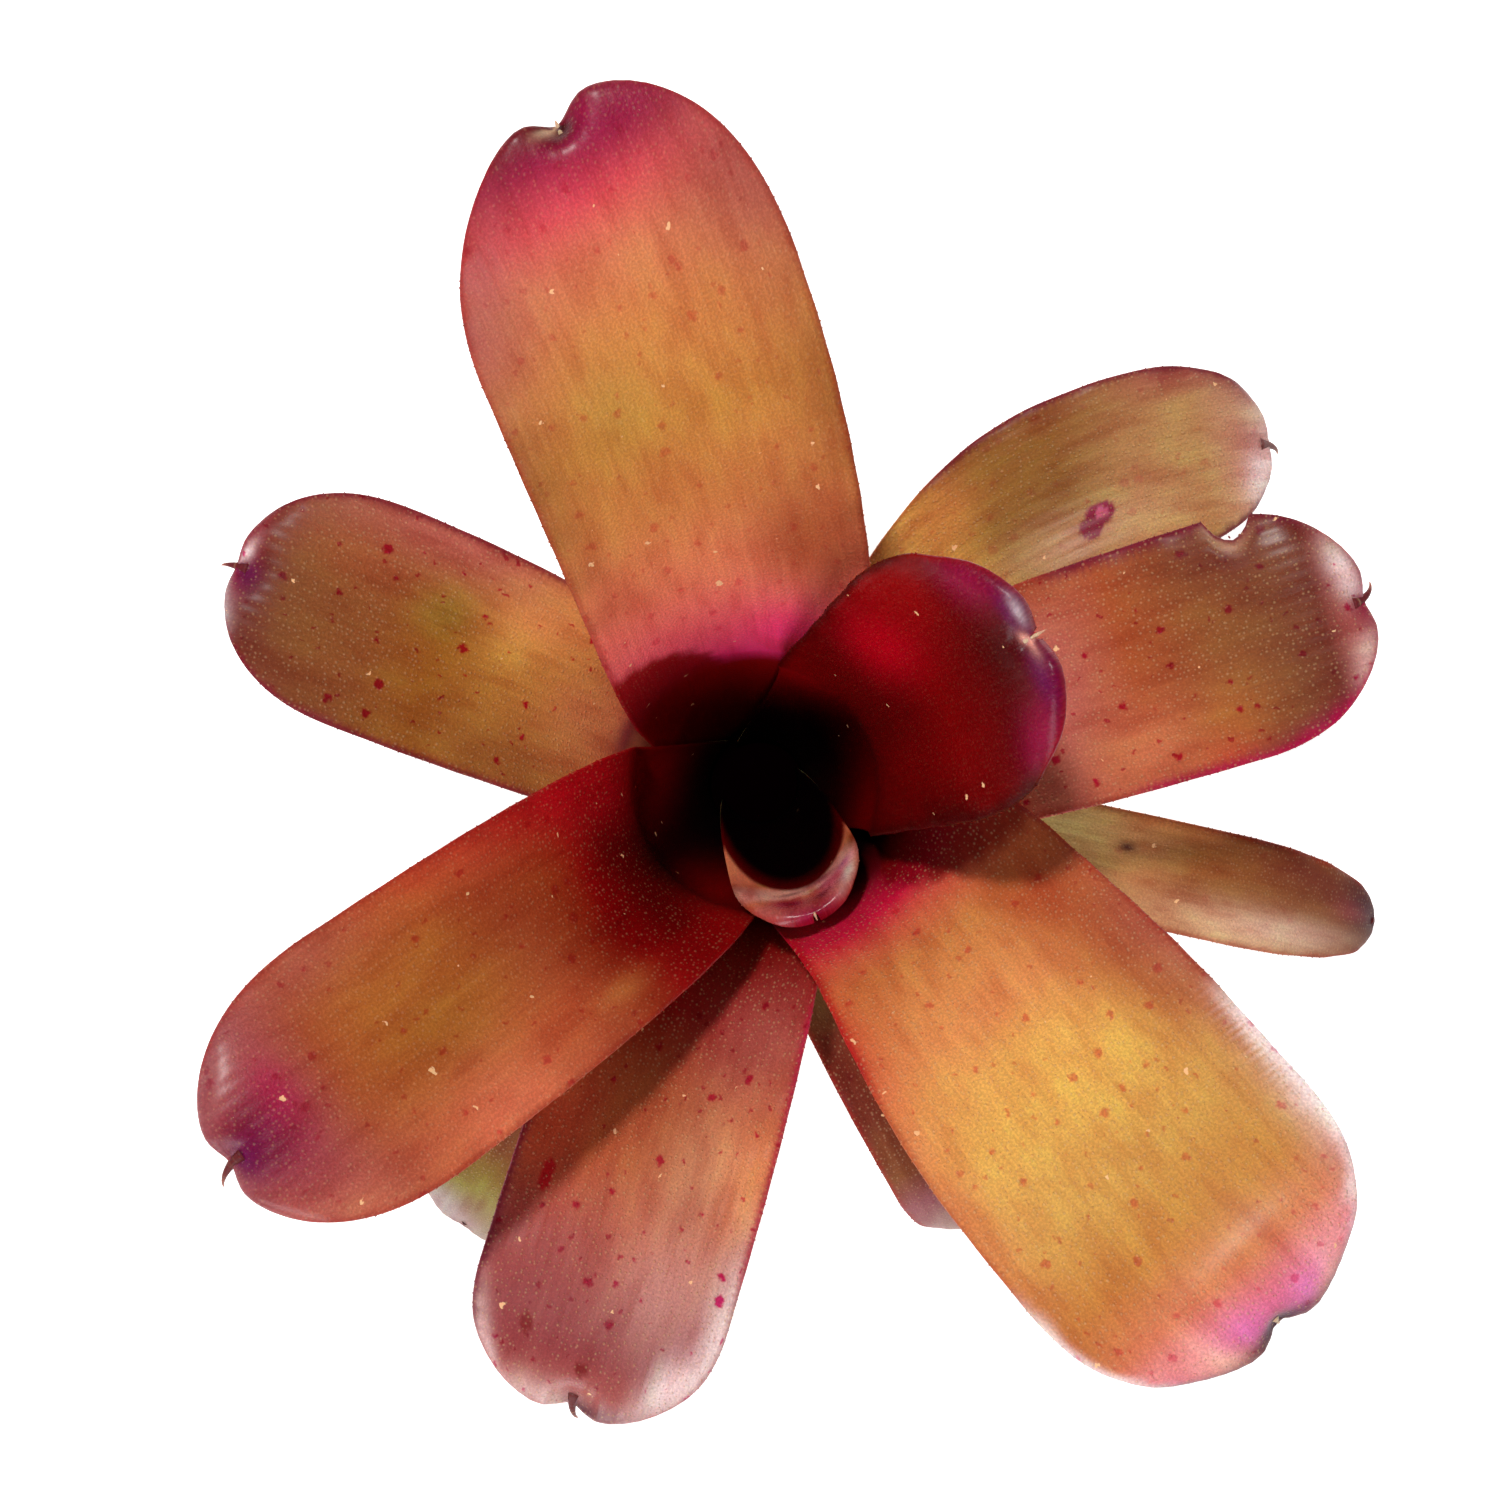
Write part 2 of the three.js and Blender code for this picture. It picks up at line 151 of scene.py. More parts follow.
OWN = {
    "leaf_01_heart": {"peak": 0.5, "channel": 150, "lip": 90, "hem": 1.8, "curl": 50},
    "leaf_02_inner_right": {"peak": 0.8, "channel": 100, "lip": 45, "hem": 1.4, "curl": 25},
    "leaf_03_lower_left": {"peak": 0.5, "channel": 50, "lip": -10, "hem": 0.8},
    "leaf_04_top": {"turn": 5, "swing": 10.5, "lip": -20, "curl": 25, "slant": 2.5},
    "leaf_05_lower_right": {"turn": -22, "swing": 8, "lip": -25, "curl": 55},
    "leaf_06_upper_left": {"swing": 3, "lip": -10},
    "leaf_08_right": {"peak": 0.5, "bite": 0.79},
    "leaf_09_upper_right": {"swing": -42, "channel": 50, "lip": 10},
    "leaf_10_low_left": {"peak": 0.5, "lip": 0, "curl": 0},
    "leaf_11_low_front": {"peak": 0.5, "lip": 0, "curl": 0},
    "leaf_12_low_right": {"peak": 0.5, "channel": 60, "lip": 30, "curl": 8, "slant": 2},
}
LEAVES = {
    name: {**USUAL, **dict(zip(COLUMNS, row)), **OWN.get(name, {}), "layer": layer}
    for layer, (name, row) in enumerate(ROWS.items())
}
longest = max(leaf["blade"] for leaf in LEAVES.values())
print("leaves:", len(LEAVES), "longest blade, mm:", longest)

# %% [markdown]
# ## The midrib
# A blade leaves its sheath upright, bends over to its own slope, arches on towards its tip,
# and curls down at the very end. A Bezier curve could be bent to this by hand. Adding up
# short strides along a slope and a heading keeps the blade's length true instead.


# %% The midrib as a sum of strides
def midrib(leaf, u):
    """Point, heading and slope at each length u from the shoulder. The slope is the arch
    plus what is left of the upright start, which dies off as e^(-u / BEND). The point is
    the sum of all the strides before it, each step * (cos s cos h, cos s sin h, sin s)."""
    count = np.arange(MIDRIB_STEPS + 1)
    part = count / MIDRIB_STEPS
    step = leaf["blade"] / MIDRIB_STEPS
    layer, shoulder = leaf["layer"], leaf["shoulder"]
    flare = (sheath_radius(layer, shoulder + 1) - sheath_radius(layer, shoulder - 1)) / 2
    upright = np.arctan2(1.0, flare)
    curl = leaf["curl"] * smooth(part, CURL_FROM, 1)
    arch = np.radians(mix(leaf["rise"], leaf["fall"], part) - curl)
    slope = arch + (upright - arch) * np.exp(-count * step / BEND)
    sideways = leaf["turn"] * smooth(part, 0, TURN_BY) + leaf["swing"] * smooth(part, 0, 1)
    heading = np.radians(leaf["azimuth"] + sideways)
    level = np.cos(slope)
    way = np.stack([level * np.cos(heading), level * np.sin(heading), np.sin(slope)], -1)
    stride = step * way
    out, start = np.radians(leaf["azimuth"]), sheath_radius(layer, shoulder)
    first = np.array([start * np.cos(out), start * np.sin(out), shoulder])
    places = first + np.vstack([np.zeros(3), np.cumsum(stride[:-1], axis=0)])
    at = np.stack([np.interp(u, count * step, places[:, k]) for k in range(3)], -1)
    return at, np.interp(u, count * step, heading), np.interp(u, count * step, slope)


for name in ("leaf_04_top", "leaf_05_lower_right"):
    end, _, _ = midrib(LEAVES[name], LEAVES[name]["blade"])
    print(name, "tip of the midrib, mm:", np.round(end, 1))

# %% [markdown]
# ## The leaf's middle surface
# A leaf is a sheet with two parameters: u is the length from the shoulder, negative down in
# the sheath, and t goes from -1 at the right margin to 1 at the left. Across, the blade is
# an arc of a circle: tight where it leaves the urn, a shallow channel in the middle, and
# slightly domed at the tip. On a real leaf the margins roll down and the tip is pinched.

# %% The surface as a function of u and t
SWELL = 0.16  # height of the blade's slow unevenness
# its two crossed waves: lengths along and across over 2 pi, and the second wave's share
CROSSED = {"along": (9, 4.3), "across": (7, 5), "second": 0.5}
NEXT_LEAF = 1.7  # radians by which each leaf's waves are shifted against the last one's
MARGIN_POWER = 6  # power of t by which hem and ripples grow towards the margins
BITE_EDGE = ((0.12, 5.1), (0.08, 11.3))  # how far a bite's edge strays, radians per mm
RIPPLE = {"height": 0.22, "pitch": 7.5}  # waves along the thin margins
RIB = {"height": 0.03, "pitch": 1.6}  # ridges over the parallel veins


def half_width(leaf, u):
    """Widens softly from neck to width, times the round end (1 - q^n)^(1/n), n = ROUND."""
    widening = smooth(u / leaf["blade"], 0, leaf["peak"])
    q = np.clip((u - (leaf["blade"] - leaf["cap"])) / leaf["cap"], 0, 1)
    return mix(leaf["neck"], leaf["width"], widening) / 2 * (1 - q**ROUND) ** (1 / ROUND)


def bitten(leaf, u):
    """Depth of the bite out of the left margin: half an ellipse round its middle."""
    if not leaf["bite"]:
        return 0 * u
    off = (u - leaf["bite"] * leaf["blade"]) / (BITE["long"] / 2)
    ragged = sum((far * np.sin(often * u) for far, often in BITE_EDGE), start=1)
    return BITE["deep"] * ragged * np.sqrt(np.clip(1 - off**2, 0, 1))


def unevenness(leaf, u, arc, t):
    """Small relief: two crossed slow waves, ripples that grow with t^6, and fine ribs.
    Each leaf starts its waves at its own place, so no two are alike."""
    start = NEXT_LEAF * leaf["layer"]
    (u1, u2), (a1, a2) = CROSSED["along"], CROSSED["across"]
    slow = np.sin(u / u1 + start) * np.cos(arc / a1 - start)
    slow = slow + CROSSED["second"] * np.sin(u / u2 - start) * np.sin(arc / a2 + start)
    waves = RIPPLE["height"] * t**MARGIN_POWER
    waves = waves * np.sin(2 * np.pi * u / RIPPLE["pitch"] + 3 * t + start)
    ribs = RIB["height"] * np.cos(2 * np.pi * arc / RIB["pitch"] + 0.6 * np.sin(u / 6))
    return SWELL * slow + waves + ribs


def sheath_points(leaf, z, t):
    """Part of a turn of the urn at height z: wide round the stem, narrow at the shoulder."""
    layer, foot = leaf["layer"], foot_height(leaf["layer"])
    widest = np.radians(WRAP) * sheath_radius(layer, foot)
    half = mix(widest, leaf["neck"] / 2, smooth(z, foot, leaf["shoulder"]))
    r = sheath_radius(layer, z)
    turn = np.radians(leaf["azimuth"]) + t * half / r
    return np.stack([r * np.cos(turn), r * np.sin(turn), z + 0 * t], -1), t * half


def blade_points(leaf, u, t):
    """The midrib's point, plus sin(b a) / b sideways and (1 - cos(b a)) / b upwards, where
    a is the arc length across and b the bend of the section there; then the hem, the
    pinched tip, the slanted end and the small relief."""
    at, heading, slope = midrib(leaf, u[:, 0])
    at, heading, slope = at[:, None, :], heading[:, None], slope[:, None]
    part, opened = u / leaf["blade"], 1 - fade(u, UNROLL)
    channel = np.radians(mix(leaf["channel"], leaf["lip"], smooth(part, OPEN_FROM, 1)))
    urn_bend = 1 / sheath_radius(leaf["layer"], leaf["shoulder"])
    bend = mix(urn_bend, channel / leaf["width"], opened) + 1e-6
    half = half_width(leaf, u)
    arc = t * np.where(t > 0, half - np.minimum(bitten(leaf, u), half), half)
    tilt = mix(np.pi / 2, slope, opened)
    cos_h, sin_h, none = np.cos(heading), np.sin(heading), 0 * heading
    side = np.stack([-sin_h, cos_h, none], -1)
    ahead = np.stack([np.cos(slope) * cos_h, np.cos(slope) * sin_h, np.sin(slope)], -1)
    normal = np.stack([-np.sin(tilt) * cos_h, -np.sin(tilt) * sin_h, np.cos(tilt)], -1)
    pinch = fade(leaf["blade"] - u, PINCH["along"]) * fade(arc, PINCH["across"])
    slant = -leaf["slant"] * smooth(part, SLANT_FROM, 1) * arc / (leaf["width"] / 2)
    hem = leaf["hem"] * opened * t**MARGIN_POWER
    lift = (1 - np.cos(bend * arc)) / bend - hem - leaf["dip"] * pinch
    lift = lift + opened * unevenness(leaf, u, arc, t)
    spread, run = np.sin(bend * arc) / bend, slant - leaf["notch"] * pinch
    points = at + side * spread[..., None] + normal * lift[..., None] + ahead * run[..., None]
    return points, arc


def leaf_points(leaf, u, t):
    """Middle surface and arc length across, for every pair of a length u and a side t."""
    u, t = np.atleast_1d(u)[:, None], np.atleast_1d(t)[None, :]
    in_sheath = u[:, 0] < 0
    points, arc = np.zeros((len(u), t.shape[1], 3)), np.zeros((len(u), t.shape[1]))
    points[in_sheath], arc[in_sheath] = sheath_points(leaf, leaf["shoulder"] + u[in_sheath], t)
    points[~in_sheath], arc[~in_sheath] = blade_points(leaf, u[~in_sheath], t)
    return points, arc


broadest = LEAVES["leaf_05_lower_right"]
middle, _ = leaf_points(broadest, np.linspace(0, broadest["blade"], 9), np.linspace(-1, 1, 9))
print("leaf_05 blade spans, mm:", np.round(np.ptp(middle.reshape(-1, 3), axis=0), 1))

# %% [markdown]
# ## From a sheet to a leaf with a rim
# The sheet becomes a solid by sliding a closed outline along it: across the upper side,
# round the rim, and back across the underside. Solidify would do this too, but its rim is
# square. A real leaf thins out to a blunt, rounded margin, so the wall here thins towards t
# = 1 and -1, and one extra row of points makes the rim round.

# %% The leaf's skin
SPACING = {"sheath": 1.0, "blade": 0.45}  # millimetres between rows
CAP_ROWS = 34
ACROSS = 60
MARGIN_WALL = 0.55  # part of the wall that is left at the margin
THINNING = 8  # power of the side t by which the wall thins: the higher, the nearer the margin
RIM_BULGE = 0.4  # how far the rounded rim stands out, as a part of the margin's wall
TIP_END = 0.9995  # part of the round end at which it stops under the spine


def rows_along(leaf):
    """Lengths u of the rows: even in sheath and blade, and 1 - (1 - s)^2 in the round end,
    so that rows crowd where the outline turns fastest."""
    depth = leaf["shoulder"] - foot_height(leaf["layer"])
    straight = leaf["blade"] - leaf["cap"]
    sheath = np.linspace(-depth, 0, int(depth / SPACING["sheath"]), endpoint=False)
    blade = np.linspace(0, straight, int(straight / SPACING["blade"]), endpoint=False)
    into = np.minimum(1 - (1 - np.linspace(0, 1, CAP_ROWS)) ** 2, TIP_END)
    return np.concatenate([sheath, blade, straight + leaf["cap"] * into])


def sides_across():
    """Sides t of the columns: s (1.2 - 0.2 s^2), which is finer near the margins."""
    s = np.linspace(-1, 1, ACROSS + 1)
    return s * (1.2 - 0.2 * s**2)


def surface_normals(points):
    """Cross product of the steps along and across the grid, made one long."""
    normal = np.cross(np.gradient(points, axis=0), np.gradient(points, axis=1))
    return normal / np.maximum(np.linalg.norm(normal, axis=-1, keepdims=True), 1e-9)


def ring_faces(rows, ring):
    """Four-sided faces of a tube of rows * ring points, the ring closed on itself."""
    i, j = np.meshgrid(np.arange(rows - 1), np.arange(ring), indexing="ij")
    a, b = i * ring + j, i * ring + (j + 1) % ring
    return np.stack([a, a + ring, b + ring, b], -1).reshape(-1, 4)


def leaf_shell(leaf):
    """Outline points of every row, with the parameters that colour them later: u, t, the
    arc across, and whether a point is on the underside (0 upper, 0.5 rim, 1 under)."""
    u, t = rows_along(leaf), sides_across()
    points, arc = leaf_points(leaf, u, t)
    normal = surface_normals(points)
    wall = WALL / 2 * mix(1, MARGIN_WALL, np.abs(t) ** THINNING)[None, :, None]
    upper, under = points + wall * normal, points - wall * normal
    out = points[:, [-1, 0]] - points[:, [-2, 1]]
    out = out / np.maximum(np.linalg.norm(out, axis=-1, keepdims=True), 1e-9)
    rims = points[:, [-1, 0]] + out * WALL * MARGIN_WALL * RIM_BULGE
    ring = np.concatenate([upper, rims[:, :1], under[:, ::-1], rims[:, 1:]], axis=1)
    side = np.concatenate([t, [1], t[::-1], [-1]])
    across = np.concatenate([arc, arc[:, -1:], arc[:, ::-1], arc[:, :1]], axis=1)
    is_under = np.concatenate([0 * t, [0.5], 0 * t + 1, [0.5]])
    lengths, sides = np.repeat(u, ring.shape[1]), np.tile(side, len(u))
    return ring, np.stack([lengths, sides, across.ravel(), np.tile(is_under, len(u))], -1)


def end_faces(first, columns, flip):
    """Closes an end: a quad between each upper and lower pair, and a triangle at each rim."""
    j = np.arange(columns - 1)
    last = 2 * columns + 1
    quads = first + np.stack([j, j + 1, last - 2 - j, last - 1 - j], -1)
    tips = first + np.array([[columns - 1, columns, columns + 1], [0, last - 1, last]])
    faces = [list(face) for face in quads] + [list(face) for face in tips]
    return [face[::-1] for face in faces] if flip else faces


ring, _ = leaf_shell(LEAVES["leaf_05_lower_right"])
print("leaf_05 rows and points in a row:", ring.shape[:2])

# %% [markdown]
# ## Margin teeth and tip spines
# The margins carry fine hooked teeth about a millimetre apart, and the midrib ends in a
# horny spine that curls over. Both grew with the leaf, so they are part of its mesh. A
# particle system could scatter teeth, but it would be lost on export. A tooth has only five
# faces, because there are more than a thousand of them.

# %% Teeth and spine
TOOTH = {"pitch": 1.05, "jitter": 0.3, "height": 0.15, "base": 0.2, "lean": 0.16}
# first tooth's place, last part of the round end without any, and where they grow to full
TOOTH_ROW = {"first": 2.5, "bare": 0.4, "none": 2, "full": 8}
TOOTH_SIZES = (0.6, 1.0)
TOOTH_WALL = 0.42  # half a tooth's thickness, as a part of the margin's wall
SPINE = {"length": 4.2, "root": 0.95, "point": 0.06, "sunk": 1.4, "curl": 55, "least": 0.3}
SPINE_RINGS = 14
SPINE_SIDES = 12
SPINE_FROM = 0.005  # part of the round end that the spine's start stays clear of
SPINE_TAPER = 0.7  # power by which a spine thins: below 1, it thins early
A_LITTLE = {"on": 0.3, "in": 0.96}  # steps that show how a margin runs and where it faces
SPINE_LEAN = {  # degrees that a spine bends to the leaf's left
    "leaf_03_lower_left": 45, "leaf_06_upper_left": 20, "leaf_07_bottom": 35,
    "leaf_08_right": 60, "leaf_09_upper_right": -35,
}


def unit(vectors):
    """Each vector divided by its own length."""
    return vectors / np.maximum(np.linalg.norm(vectors, axis=-1, keepdims=True), 1e-9)


def margin_teeth(leaf, side, rng):
    """A row of four-sided spikes. With x along the margin, y out of it and z through the
    wall, a tooth's corners are (+-base, 0, +-wall) and its point is (lean, height, 0)."""
    last = leaf["blade"] - TOOTH_ROW["bare"] * leaf["cap"]
    u = np.arange(TOOTH_ROW["first"], last, TOOTH["pitch"])
    u = u + rng.uniform(-TOOTH["jitter"], TOOTH["jitter"], len(u))
    grown = smooth(u, TOOTH_ROW["none"], TOOTH_ROW["full"])
    size = rng.uniform(*TOOTH_SIZES, len(u)) * grown
    edge, arc = leaf_points(leaf, u, side)
    x = unit(leaf_points(leaf, u + A_LITTLE["on"], side)[0] - edge)
    y = unit(edge - leaf_points(leaf, u, side * A_LITTLE["in"])[0])
    z = unit(np.cross(x, y))
    x, y, z = (axis * size[:, None, None] for axis in (x, y, z))
    wall = WALL * MARGIN_WALL * TOOTH_WALL
    signs = ((-1, -1), (1, -1), (1, 1), (-1, 1))
    corners = [edge + sx * TOOTH["base"] * x + sz * wall * z for sx, sz in signs]
    point = edge + TOOTH["lean"] * x + (TOOTH["height"] + wall) * y
    points = np.concatenate([*corners, point], axis=1)
    first = 5 * np.arange(len(u))[:, None]
    sides = [(1, 0, 4), (2, 1, 4), (3, 2, 4), (0, 3, 4)]
    faces = [f for corner in sides for f in (first + np.array(corner)).tolist()]
    faces += (first + np.arange(4)).tolist()
    params = np.stack([u, 0 * u + side, arc[:, 0], 0 * u + 0.5], -1)
    return points.reshape(-1, 3), faces, np.repeat(params, 5, axis=0)


def tip_spine(name, leaf):
    """A cone carried along a path that starts inside the blade. Its direction turns down
    by curl * part^2 and sideways by lean * part, its radius shrinks to the point, and a
    short spine is also a thin one."""
    end = leaf["blade"] - leaf["cap"] * SPINE_FROM
    tip = leaf_points(leaf, end, 0)[0][0, 0]
    ahead = unit(tip - leaf_points(leaf, end - 1, 0)[0][0, 0])
    side = unit(leaf_points(leaf, end, 0.5)[0][0, 0] - leaf_points(leaf, end, -0.5)[0][0, 0])
    up = unit(np.cross(ahead, side))
    part = np.linspace(0, 1, SPINE_RINGS)[:, None]
    down = np.radians(SPINE["curl"]) * part**2
    lean = np.radians(SPINE_LEAN.get(name, 0)) * part
    way = np.cos(down) * (np.cos(lean) * ahead + np.sin(lean) * side) - np.sin(down) * up
    stout = mix(SPINE["least"], 1, leaf["spine"])
    sunk = SPINE["sunk"] * stout
    length = SPINE["length"] * leaf["spine"] + sunk
    stride = way * length / (SPINE_RINGS - 1)
    path = tip - ahead * sunk + np.vstack([np.zeros(3), np.cumsum(stride[:-1], axis=0)])
    across = unit(np.cross(up, way))
    over = np.cross(across, way)
    turn = np.linspace(0, 2 * np.pi, SPINE_SIDES, endpoint=False)[None, :, None]
    radius = mix(SPINE["root"] * stout, SPINE["point"], part**SPINE_TAPER)[:, :, None]
    around = np.cos(turn) * across[:, None] + np.sin(turn) * over[:, None]
    points = path[:, None] + radius * around
    rim = np.arange(SPINE_SIDES)
    faces = ring_faces(SPINE_RINGS, SPINE_SIDES).tolist()
    faces += [rim.tolist(), (rim[::-1] + SPINE_SIDES * (SPINE_RINGS - 1)).tolist()]
    along = np.repeat(part[:, 0], SPINE_SIDES)
    params = np.stack([leaf["blade"] + length * along, 0 * along, 0 * along, 2 + along], -1)
    return points.reshape(-1, 3), faces, params


def whole_leaf(name, leaf):
    """Shell, teeth and spine in one mesh: points stacked, face numbers moved up to match."""
    ring, shell_params = leaf_shell(leaf)
    rows, size = ring.shape[:2]
    faces = ring_faces(rows, size).tolist() + end_faces(0, ACROSS + 1, False)
    faces += end_faces((rows - 1) * size, ACROSS + 1, True)
    rng = np.random.default_rng(100 + leaf["layer"])
    parts = [(ring.reshape(-1, 3), faces, shell_params)]
    parts += [margin_teeth(leaf, -1, rng), margin_teeth(leaf, 1, rng), tip_spine(name, leaf)]
    points, joined, params, count = [], [], [], 0
    for part_points, part_faces, part_params in parts:
        joined += [[k + count for k in face] for face in part_faces]
        points.append(part_points)
        params.append(part_params)
        count += len(part_points)
    return np.concatenate(points), joined, np.concatenate(params)


points, faces, params = whole_leaf("leaf_03_lower_left", LEAVES["leaf_03_lower_left"])
print("leaf_03 points and faces:", len(points), len(faces))

# %% [markdown]
# ## Colours of a leaf
# Neoregelia leaves are never one colour: strong light turns the green of the blade to gold
# and salmon, the tip is purple, and the sheaths round the water are wine red, with painted
# shade turning them black deep in the urn. The change follows the leaf, so it is worked out
# from u and t and kept as a colour on each point. Every leaf has a run of colours from its
# sheath to its tip, and soft patches on top.

# %% The palette, from sRGB to linear
PALETTE = {
    # the first colour, near black, is painted shade for the depth of the urn
    "painted_shade_black": "#040001", "dark_wine": "#2C0001", "wine": "#520002", "garnet": "#700002",
    "blood": "#8E0408", "ruby": "#B20018", "crimson": "#CC1640", "hot_pink": "#F8347A",
    "rose": "#EA5A6A", "magenta": "#8C0A3C", "plum": "#64012E", "aubergine": "#38081E",
    "cerise": "#B00A4A", "purple": "#5E0844", "violet": "#6E3464", "rust": "#963818",
    "brick": "#B24A28", "sienna": "#A04C28", "terracotta": "#C44A30", "clay": "#CC7450",
    "coral": "#D04A52", "copper": "#AA6028", "salmon": "#DC7658", "orange": "#CA7E44",
    "gold": "#BE7E38", "honey": "#CC9A4C", "yellow": "#DEAA54", "apricot": "#DE9256",
    "olive": "#9C5E20", "khaki": "#94642C", "bronze": "#8A4E26", "brown": "#7A4424",
    "umber": "#6A2A1C", "madder": "#8C3A3E", "old_rose": "#A04C48", "dusty_rose": "#B46058",
    "mauve": "#8E5058", "pink": "#DC6E94", "orchid": "#DC6CB8", "pale_rose": "#EEAC9C",
    "blush": "#E2C0BA", "highlight_pearl": "#F6E4E4", "taupe": "#AC8C84", "camel": "#BC8A58",
    "sand": "#D0A47C", "moss": "#948430", "straw": "#B4A468", "silver": "#C8BEC0",
    "bone": "#DCC4A0", "sage": "#6E6A48", "horn": "#5A1E1C", "horn_point": "#C8907A",
    "scurf": "#F2C290", "bark": "#5A3C24", "cut_wood": "#A8875C",
}


def linear(code):
    """sRGB hex to linear: c / 12.92 for the darkest, ((c + 0.055) / 1.055)^2.4 above."""
    c = np.array([int(code[k : k + 2], 16) for k in (1, 3, 5)]) / 255
    return np.where(c <= 0.04045, c / 12.92, ((c + 0.055) / 1.055) ** 2.4)


COLOUR = {name: linear(code) for name, code in PALETTE.items()}
print("gold, linear:", np.round(COLOUR["gold"], 3))

# %% [markdown]
# ## Where each colour lies
# A run gives (part of the blade, colour) from the sheath, below 0, to the tip at 1. A patch
# gives a colour, its middle as part and side, its reach along and across, and how strongly
# it covers. Painting these by hand in Texture Paint would need an image; numbers don't.

# %% The runs and patches
# low in the sheaths the runs go to near black: painted shade deep in the urn
RUNS = {
    "leaf_01_heart": (
        (0.12, "salmon"), (0.4, "pale_rose"), (0.6, "pale_rose"), (0.72, "clay"),
        (0.82, "dusty_rose"), (0.9, "old_rose"), (1, "magenta"),
    ),
    "leaf_02_inner_right": (
        (-0.35, "painted_shade_black"), (-0.2, "dark_wine"), (0.1, "wine"), (0.4, "wine"),
        (0.6, "garnet"), (0.85, "wine"), (0.95, "wine"), (1, "plum"),
    ),
    "leaf_03_lower_left": (
        (-0.02, "painted_shade_black"), (0.08, "dark_wine"), (0.17, "wine"), (0.24, "blood"),
        (0.32, "rust"), (0.42, "sienna"), (0.55, "copper"), (0.7, "copper"), (0.79, "sienna"),
        (0.87, "old_rose"), (0.95, "old_rose"), (1, "mauve"),
    ),
    "leaf_04_top": (
        (-0.34, "painted_shade_black"), (-0.18, "garnet"), (-0.06, "blood"), (0, "hot_pink"),
        (0.12, "rose"), (0.25, "salmon"),
        (0.4, "orange"), (0.55, "gold"), (0.7, "orange"), (0.8, "clay"), (0.88, "coral"),
        (0.95, "magenta"), (1, "wine"),
    ),
    "leaf_05_lower_right": (
        (-0.1, "painted_shade_black"), (0.02, "wine"), (0.12, "crimson"), (0.25, "orange"),
        (0.4, "apricot"), (0.55, "yellow"), (0.7, "honey"), (0.8, "gold"), (0.88, "clay"),
        (0.94, "pink"), (0.98, "plum"), (1, "aubergine"),
    ),
    "leaf_06_upper_left": (
        (-0.2, "dark_wine"), (0.02, "salmon"), (0.2, "orange"), (0.4, "gold"), (0.55, "olive"),
        (0.7, "bronze"), (0.88, "brown"), (0.94, "umber"), (1, "magenta"),
    ),
    "leaf_07_bottom": (
        (-0.2, "dark_wine"), (0.1, "garnet"), (0.25, "blood"), (0.4, "sienna"),
        (0.55, "sienna"), (0.7, "old_rose"), (0.88, "madder"), (0.95, "old_rose"), (1, "mauve"),
    ),
    "leaf_08_right": (
        (-0.2, "dark_wine"), (0.2, "sienna"), (0.4, "dusty_rose"), (0.55, "sienna"),
        (0.7, "bronze"), (0.82, "brown"), (0.9, "umber"), (0.95, "old_rose"), (1, "magenta"),
    ),
    "leaf_09_upper_right": (
        (-0.2, "straw"), (0.36, "honey"), (0.45, "khaki"), (0.6, "khaki"), (0.72, "camel"),
        (0.85, "camel"), (0.92, "sand"), (1, "blush"),
    ),
    "leaf_10_low_left": ((0.5, "brown"), (0.7, "bronze"), (0.85, "moss"), (0.97, "taupe")),
    "leaf_11_low_front": (
        (0, "straw"), (0.3, "umber"), (0.5, "umber"), (0.68, "brown"), (0.8, "mauve"),
        (1, "taupe"),
    ),
    "leaf_12_low_right": (
        (0.3, "straw"), (0.42, "camel"), (0.55, "bronze"), (0.88, "brown"), (1, "aubergine"),
    ),
}
